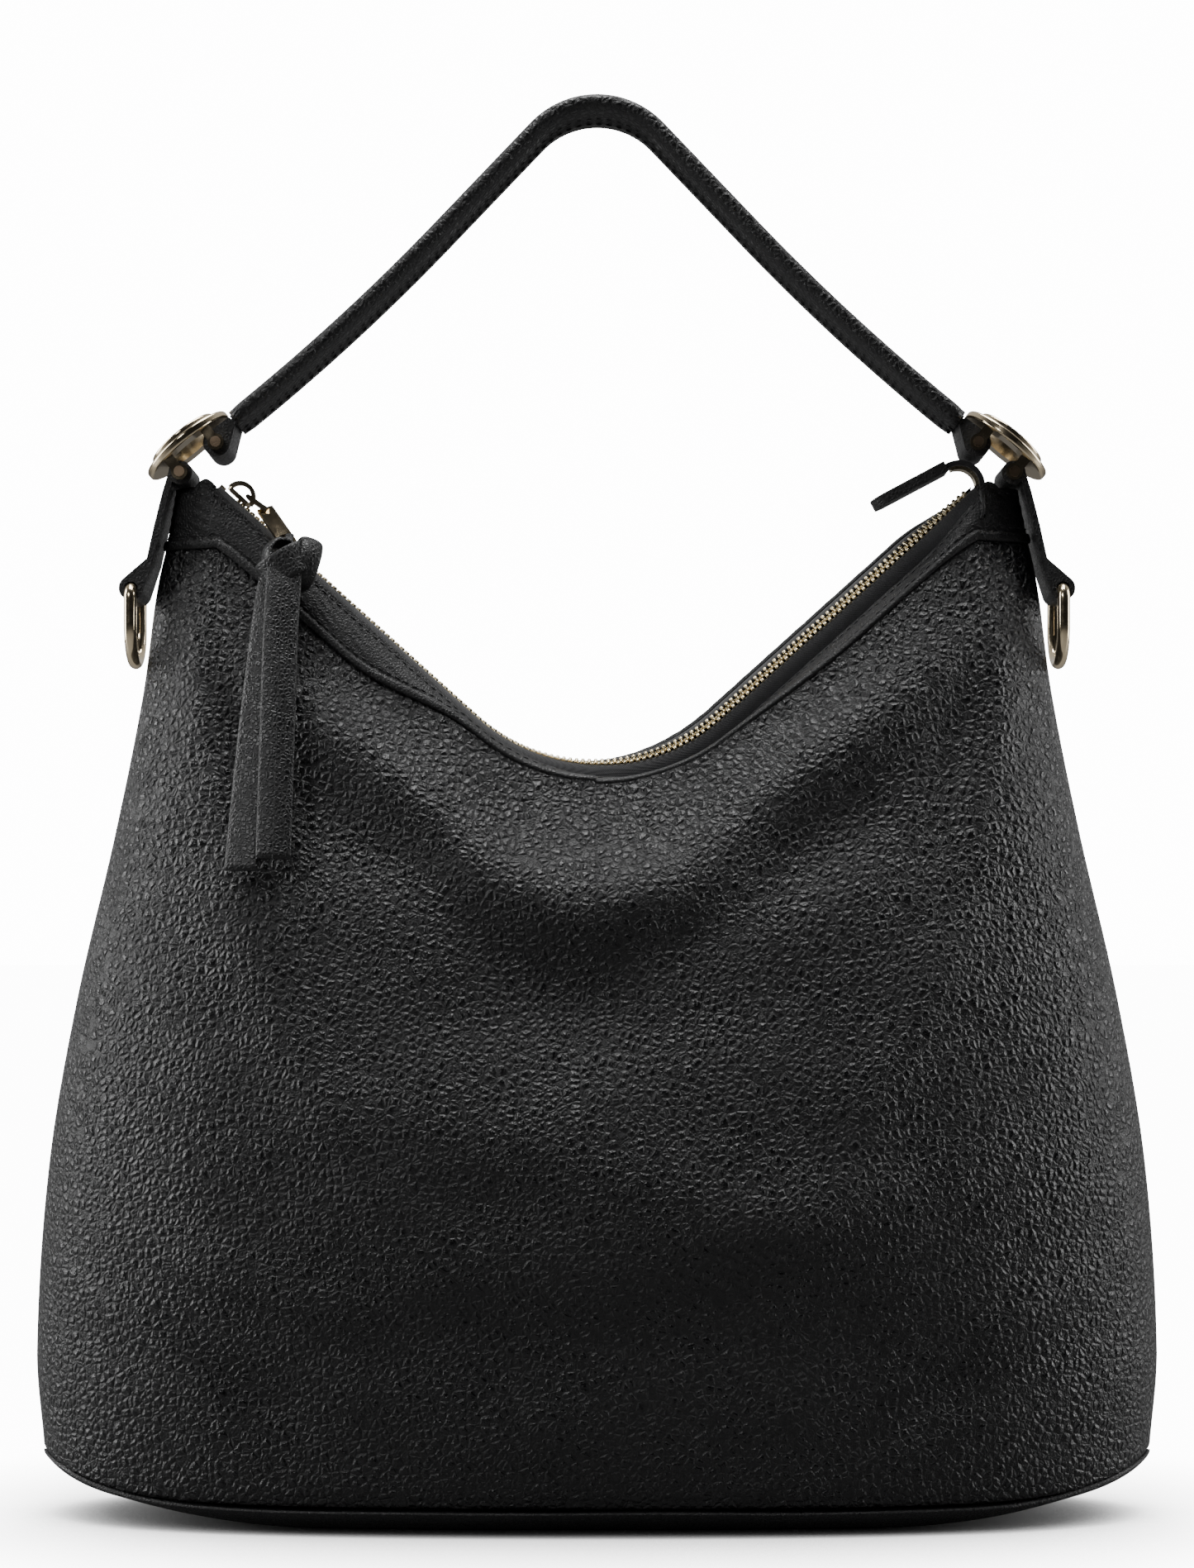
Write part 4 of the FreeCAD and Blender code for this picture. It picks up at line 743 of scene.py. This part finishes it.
# ---------------------------------------------------------------- the knotted thong
def smooth_path(points, steps, closed=False):
    """A smooth line through a few points."""
    made, last = [], len(points)
    spans = last if closed else last - 1
    for i in range(spans):
        p = [points[(i + k) % last] if closed else points[min(max(i + k, 0), last - 1)]
             for k in (-1, 0, 1, 2)]
        for j in range(steps):
            t = j / steps
            made.append(0.5 * (2 * p[1] + (p[2] - p[0]) * t
                               + (2 * p[0] - 5 * p[1] + 4 * p[2] - p[3]) * t * t
                               + (3 * p[1] - p[0] - 3 * p[2] + p[3]) * t ** 3))
    if not closed:
        made.append(points[-1].copy())
    return made


def strap(path, flat, width, thick, closed=False, crown=0.0, taper=None):
    """Points and faces of a flat strap along a path. flat(share) is the way its width lies."""
    ring, count = 20, len(path)
    points = []
    for i, point in enumerate(path):
        before = path[i - 1] if i or closed else path[i]
        after = path[(i + 1) % count] if i < count - 1 or closed else path[i]
        way = (after - before).normalized()
        side = flat(i / max(count - 1, 1))
        side = (side - way * side.dot(way)).normalized()
        out = way.cross(side)
        wide = width * (taper(i / max(count - 1, 1)) if taper else 1.0)
        for j in range(ring):
            a = 2 * math.pi * j / ring
            c, sn = math.cos(a), math.sin(a)
            u = math.copysign(abs(c) ** 0.5, c) * wide / 2
            v = math.copysign(abs(sn) ** 0.8, sn) * thick / 2
            v += crown * (1 - (2 * u / wide) ** 2)
            points.append(point + side * u + out * v)
    faces = tube_faces(count, ring, not closed)
    if closed:
        last = (count - 1) * ring
        faces += [(last + j, last + (j + 1) % ring, (j + 1) % ring, j) for j in range(ring)]
    return points, faces


def tassel():
    end = Vector((-97.7, -13.1, 308.8))
    knot = end + Vector((0.6, -7.7, -7.3))
    points, faces = [], []

    def join(piece):
        start = len(points)
        points.extend(piece[0])
        faces.extend(tuple(start + k for k in face) for face in piece[1])

    def ring_of(centre, u, v, ru, rv, width, thick, crown):
        u, v = u.normalized(), v.normalized()
        count = 40
        path = [centre + u * (ru * math.cos(2 * math.pi * i / count))
                + v * (rv * math.sin(2 * math.pi * i / count)) for i in range(count)]
        join(strap(path, lambda share: u.cross(v), width, thick, True, crown))

    # the wrap across the front, the loop that bulges to the right, and the strand behind
    ring_of(knot + Vector((-1.0, -0.2, -0.6)), Vector((0.86, -0.05, 0.50)), Vector((0, 1, 0)),
            8.2, 6.6, 9.6, 1.9, -0.5)
    ring_of(knot + Vector((4.6, 0.6, 0.4)), Vector((0.30, 0.1, 1.0)), Vector((0.35, -0.9, 0)),
            7.2, 5.2, 7.4, 1.9, 0.5)
    ring_of(knot + Vector((-2.0, 1.6, 1.2)), Vector((-0.25, 0.2, 1.0)), Vector((0.9, 0.5, 0)),
            6.4, 5.4, 7.0, 1.8, 0.4)
    loop = [end + Vector((0.2, -3.6, -5.6)), end + Vector((0, -3.1, 0.4)), end + Vector((0, 0.2, 3.0)),
            end + Vector((0, 3.1, 0.0)), end + Vector((0.4, -1.0, -5.4))]
    join(strap(smooth_path(loop, 8), lambda share: Vector((1, 0, 0)), 2.7, 1.3))
    front = [knot + Vector((-0.6, -2.0, 3)), knot + Vector((-1.0, -6.2, -5)),
             knot + Vector((-1.6, -10.4, -22)), knot + Vector((-1.9, -16.5, -50)),
             knot + Vector((-2.4, -25.4, -93.5))]
    rear = [knot + Vector((-2.0, 1.0, 2)), knot + Vector((-4.4, -1.8, -7)),
            knot + Vector((-6.4, -7.4, -26)), knot + Vector((-9.2, -14.6, -56)),
            knot + Vector((-12.2, -24.6, -97.0))]
    join(strap(smooth_path(front, 14),
               lambda share: Vector((1, 0.10 + 0.06 * math.sin(5 * share), 0.02)), 11.0, 1.7,
               False, 0.45, lambda t: 0.72 + 0.28 * ease(t / 0.22)))
    join(strap(smooth_path(rear, 14),
               lambda share: Vector((1, -0.12, 0.10 + 0.16 * share)), 11.4, 1.7, False, 0.3,
               lambda t: 0.7 + 0.3 * ease(t / 0.25)))
    new_object("knotted_thong", points, faces, TASSEL, "tassel", ["pull_thong"])
    crease = [(p + Vector((-0.1, -1.35, 0)), Vector((0, -1, 0.2)))
              for p in smooth_path(front, 14)[16:]]
    stitches("thong_crease", along_path(crease, 2.0), 2.1, 0.16, THREAD, "tassel")


tassel()


# ---------------------------------------------------------------- materials of the CAD pieces
SHARP = math.radians(35)


def dress(node, material, bevel=0.0):
    """Give a CAD piece its material, and round its edges or split them where they are sharp."""
    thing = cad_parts[node]
    thing.data.materials.clear()
    thing.data.materials.append(material)
    for face in thing.data.polygons:
        face.use_smooth = True
    if bevel:
        made = thing.modifiers.new("rounded_edges", "BEVEL")
        made.width, made.segments = bevel * MM, 2
        made.limit_method, made.angle_limit = "ANGLE", SHARP
        made.harden_normals = False
    else:
        made = thing.modifiers.new("smooth_by_angle", "EDGE_SPLIT")
        made.split_angle = SHARP


for side in ("left", "right"):
    dress("ring_" + side, GOLD, 0.25)
    dress("d_ring_" + side, GOLD)
    dress("strap_pin_" + side, PIN, 0.3)
    dress("handle_pin_" + side, PIN, 0.3)
    dress("side_strap_" + side, SMOOTH, 0.35)
    dress("handle_tab_" + side, SMOOTH, 0.4)
dress("zip_top_stops", GOLD, 0.3)
dress("zip_slider", GOLD, 0.3)
dress("zip_pull", GOLD, 0.35)
dress("zip_tail_tape", TAPE)
dress("zip_tail_teeth", TEETH, 0.2)
dress("zip_tail_tab", SMOOTH, 0.6)
dress("zip_end_stop", GOLD, 0.2)
dress("lining", LINING)
dress("base_board", BOARD, 0.3)
dress("handle_core", FILLER)


# ---------------------------------------------------------------- floor, light and camera
FLOOR_GLOW, SKY_GLOW = 13.0, 14.0        # what the camera alone sees
SHADOW_REACH = 0.10


def floor():
    """A dark grey floor that glows white to the camera only, so it throws little light back on
    the leather. The glow fades near the bag as a painted soft shadow."""
    n = Nodes("pale_floor")
    speck = n.noise(30, 2.0)
    colour = n.mix_colour(speck, (0.17, 0.17, 0.17), (0.20, 0.20, 0.20))
    material = n.finish(colour, 0.45, None)
    path = n.add("LightPath")
    n.shader.inputs["Emission Color"].default_value = (1, 1, 1, 1)
    near = n.add("AmbientOcclusion", {"Distance": SHADOW_REACH})
    near.samples = 8
    # painted shadow: ambient occlusion dims the camera-only glow near the bag
    painted_shadow_fade = n.math("POWER", near.outputs["AO"], 3.0)
    n.link(n.math("MULTIPLY", path.outputs["Is Camera Ray"], n.math("MULTIPLY", painted_shadow_fade, FLOOR_GLOW)),
           n.shader.inputs["Emission Strength"])
    bpy.ops.mesh.primitive_plane_add(size=60, location=(0, 0, -0.0005))
    plane = bpy.context.object
    plane.name = "studio_floor"
    plane.data.materials.append(material)


def area(name, place, aim, size, power, tall=None):
    data = bpy.data.lights.new(name, "AREA")
    data.shape = "RECTANGLE"
    data.size, data.size_y, data.energy = size, tall or size, power
    lamp = bpy.data.objects.new(name, data)
    lamp.location = place
    lamp.rotation_mode = "QUATERNION"
    lamp.rotation_quaternion = (Vector(aim) - Vector(place)).to_track_quat("-Z", "Y")
    bpy.context.scene.collection.objects.link(lamp)


def studio():
    world = bpy.data.worlds.new("studio")
    bpy.context.scene.world = world
    world.use_nodes = True
    tree = world.node_tree
    background = tree.nodes["Background"]
    coordinates = tree.nodes.new("ShaderNodeTexCoord")
    parts = tree.nodes.new("ShaderNodeSeparateXYZ")
    tree.links.new(coordinates.outputs["Generated"], parts.inputs[0])
    spread = tree.nodes.new("ShaderNodeMapRange")
    spread.interpolation_type = "SMOOTHSTEP"
    for key, value in (("From Min", -0.6), ("From Max", 0.7), ("To Min", 0.012), ("To Max", 0.5)):
        spread.inputs[key].default_value = value
    tree.links.new(parts.outputs[1], spread.inputs["Value"])
    path = tree.nodes.new("ShaderNodeLightPath")
    seen = tree.nodes.new("ShaderNodeMath")
    seen.operation = "MULTIPLY_ADD"
    seen.inputs[1].default_value = SKY_GLOW
    tree.links.new(path.outputs["Is Camera Ray"], seen.inputs[0])
    tree.links.new(spread.outputs["Result"], seen.inputs[2])
    tree.links.new(seen.outputs[0], background.inputs["Strength"])
    background.inputs["Color"].default_value = (1, 1, 1, 1)
    area("left_softbox", (-1.1, 0.02, 0.45), (-0.05, 0, 0.15), 0.5, 13, 1.1)
    area("right_softbox", (1.15, 0.04, 0.45), (0.05, 0, 0.15), 0.5, 11, 1.1)
    area("top_softbox", (0.0, -0.02, 1.25), (0, 0, 0.2), 0.7, 16)
    area("front_card", (-0.55, -1.05, 0.85), (0, 0, 0.33), 0.3, 3.5)


def camera():
    data = bpy.data.cameras.new("camera")
    data.sensor_width, data.lens = 36.0, 71.3
    data.shift_y = 0.104
    data.dof.use_dof = False
    eye = bpy.data.objects.new("camera", data)
    eye.location = (0, -1.0, 0.181)
    eye.rotation_euler = (math.radians(90), 0, 0)
    bpy.context.scene.collection.objects.link(eye)
    bpy.context.scene.camera = eye


floor()
studio()
camera()
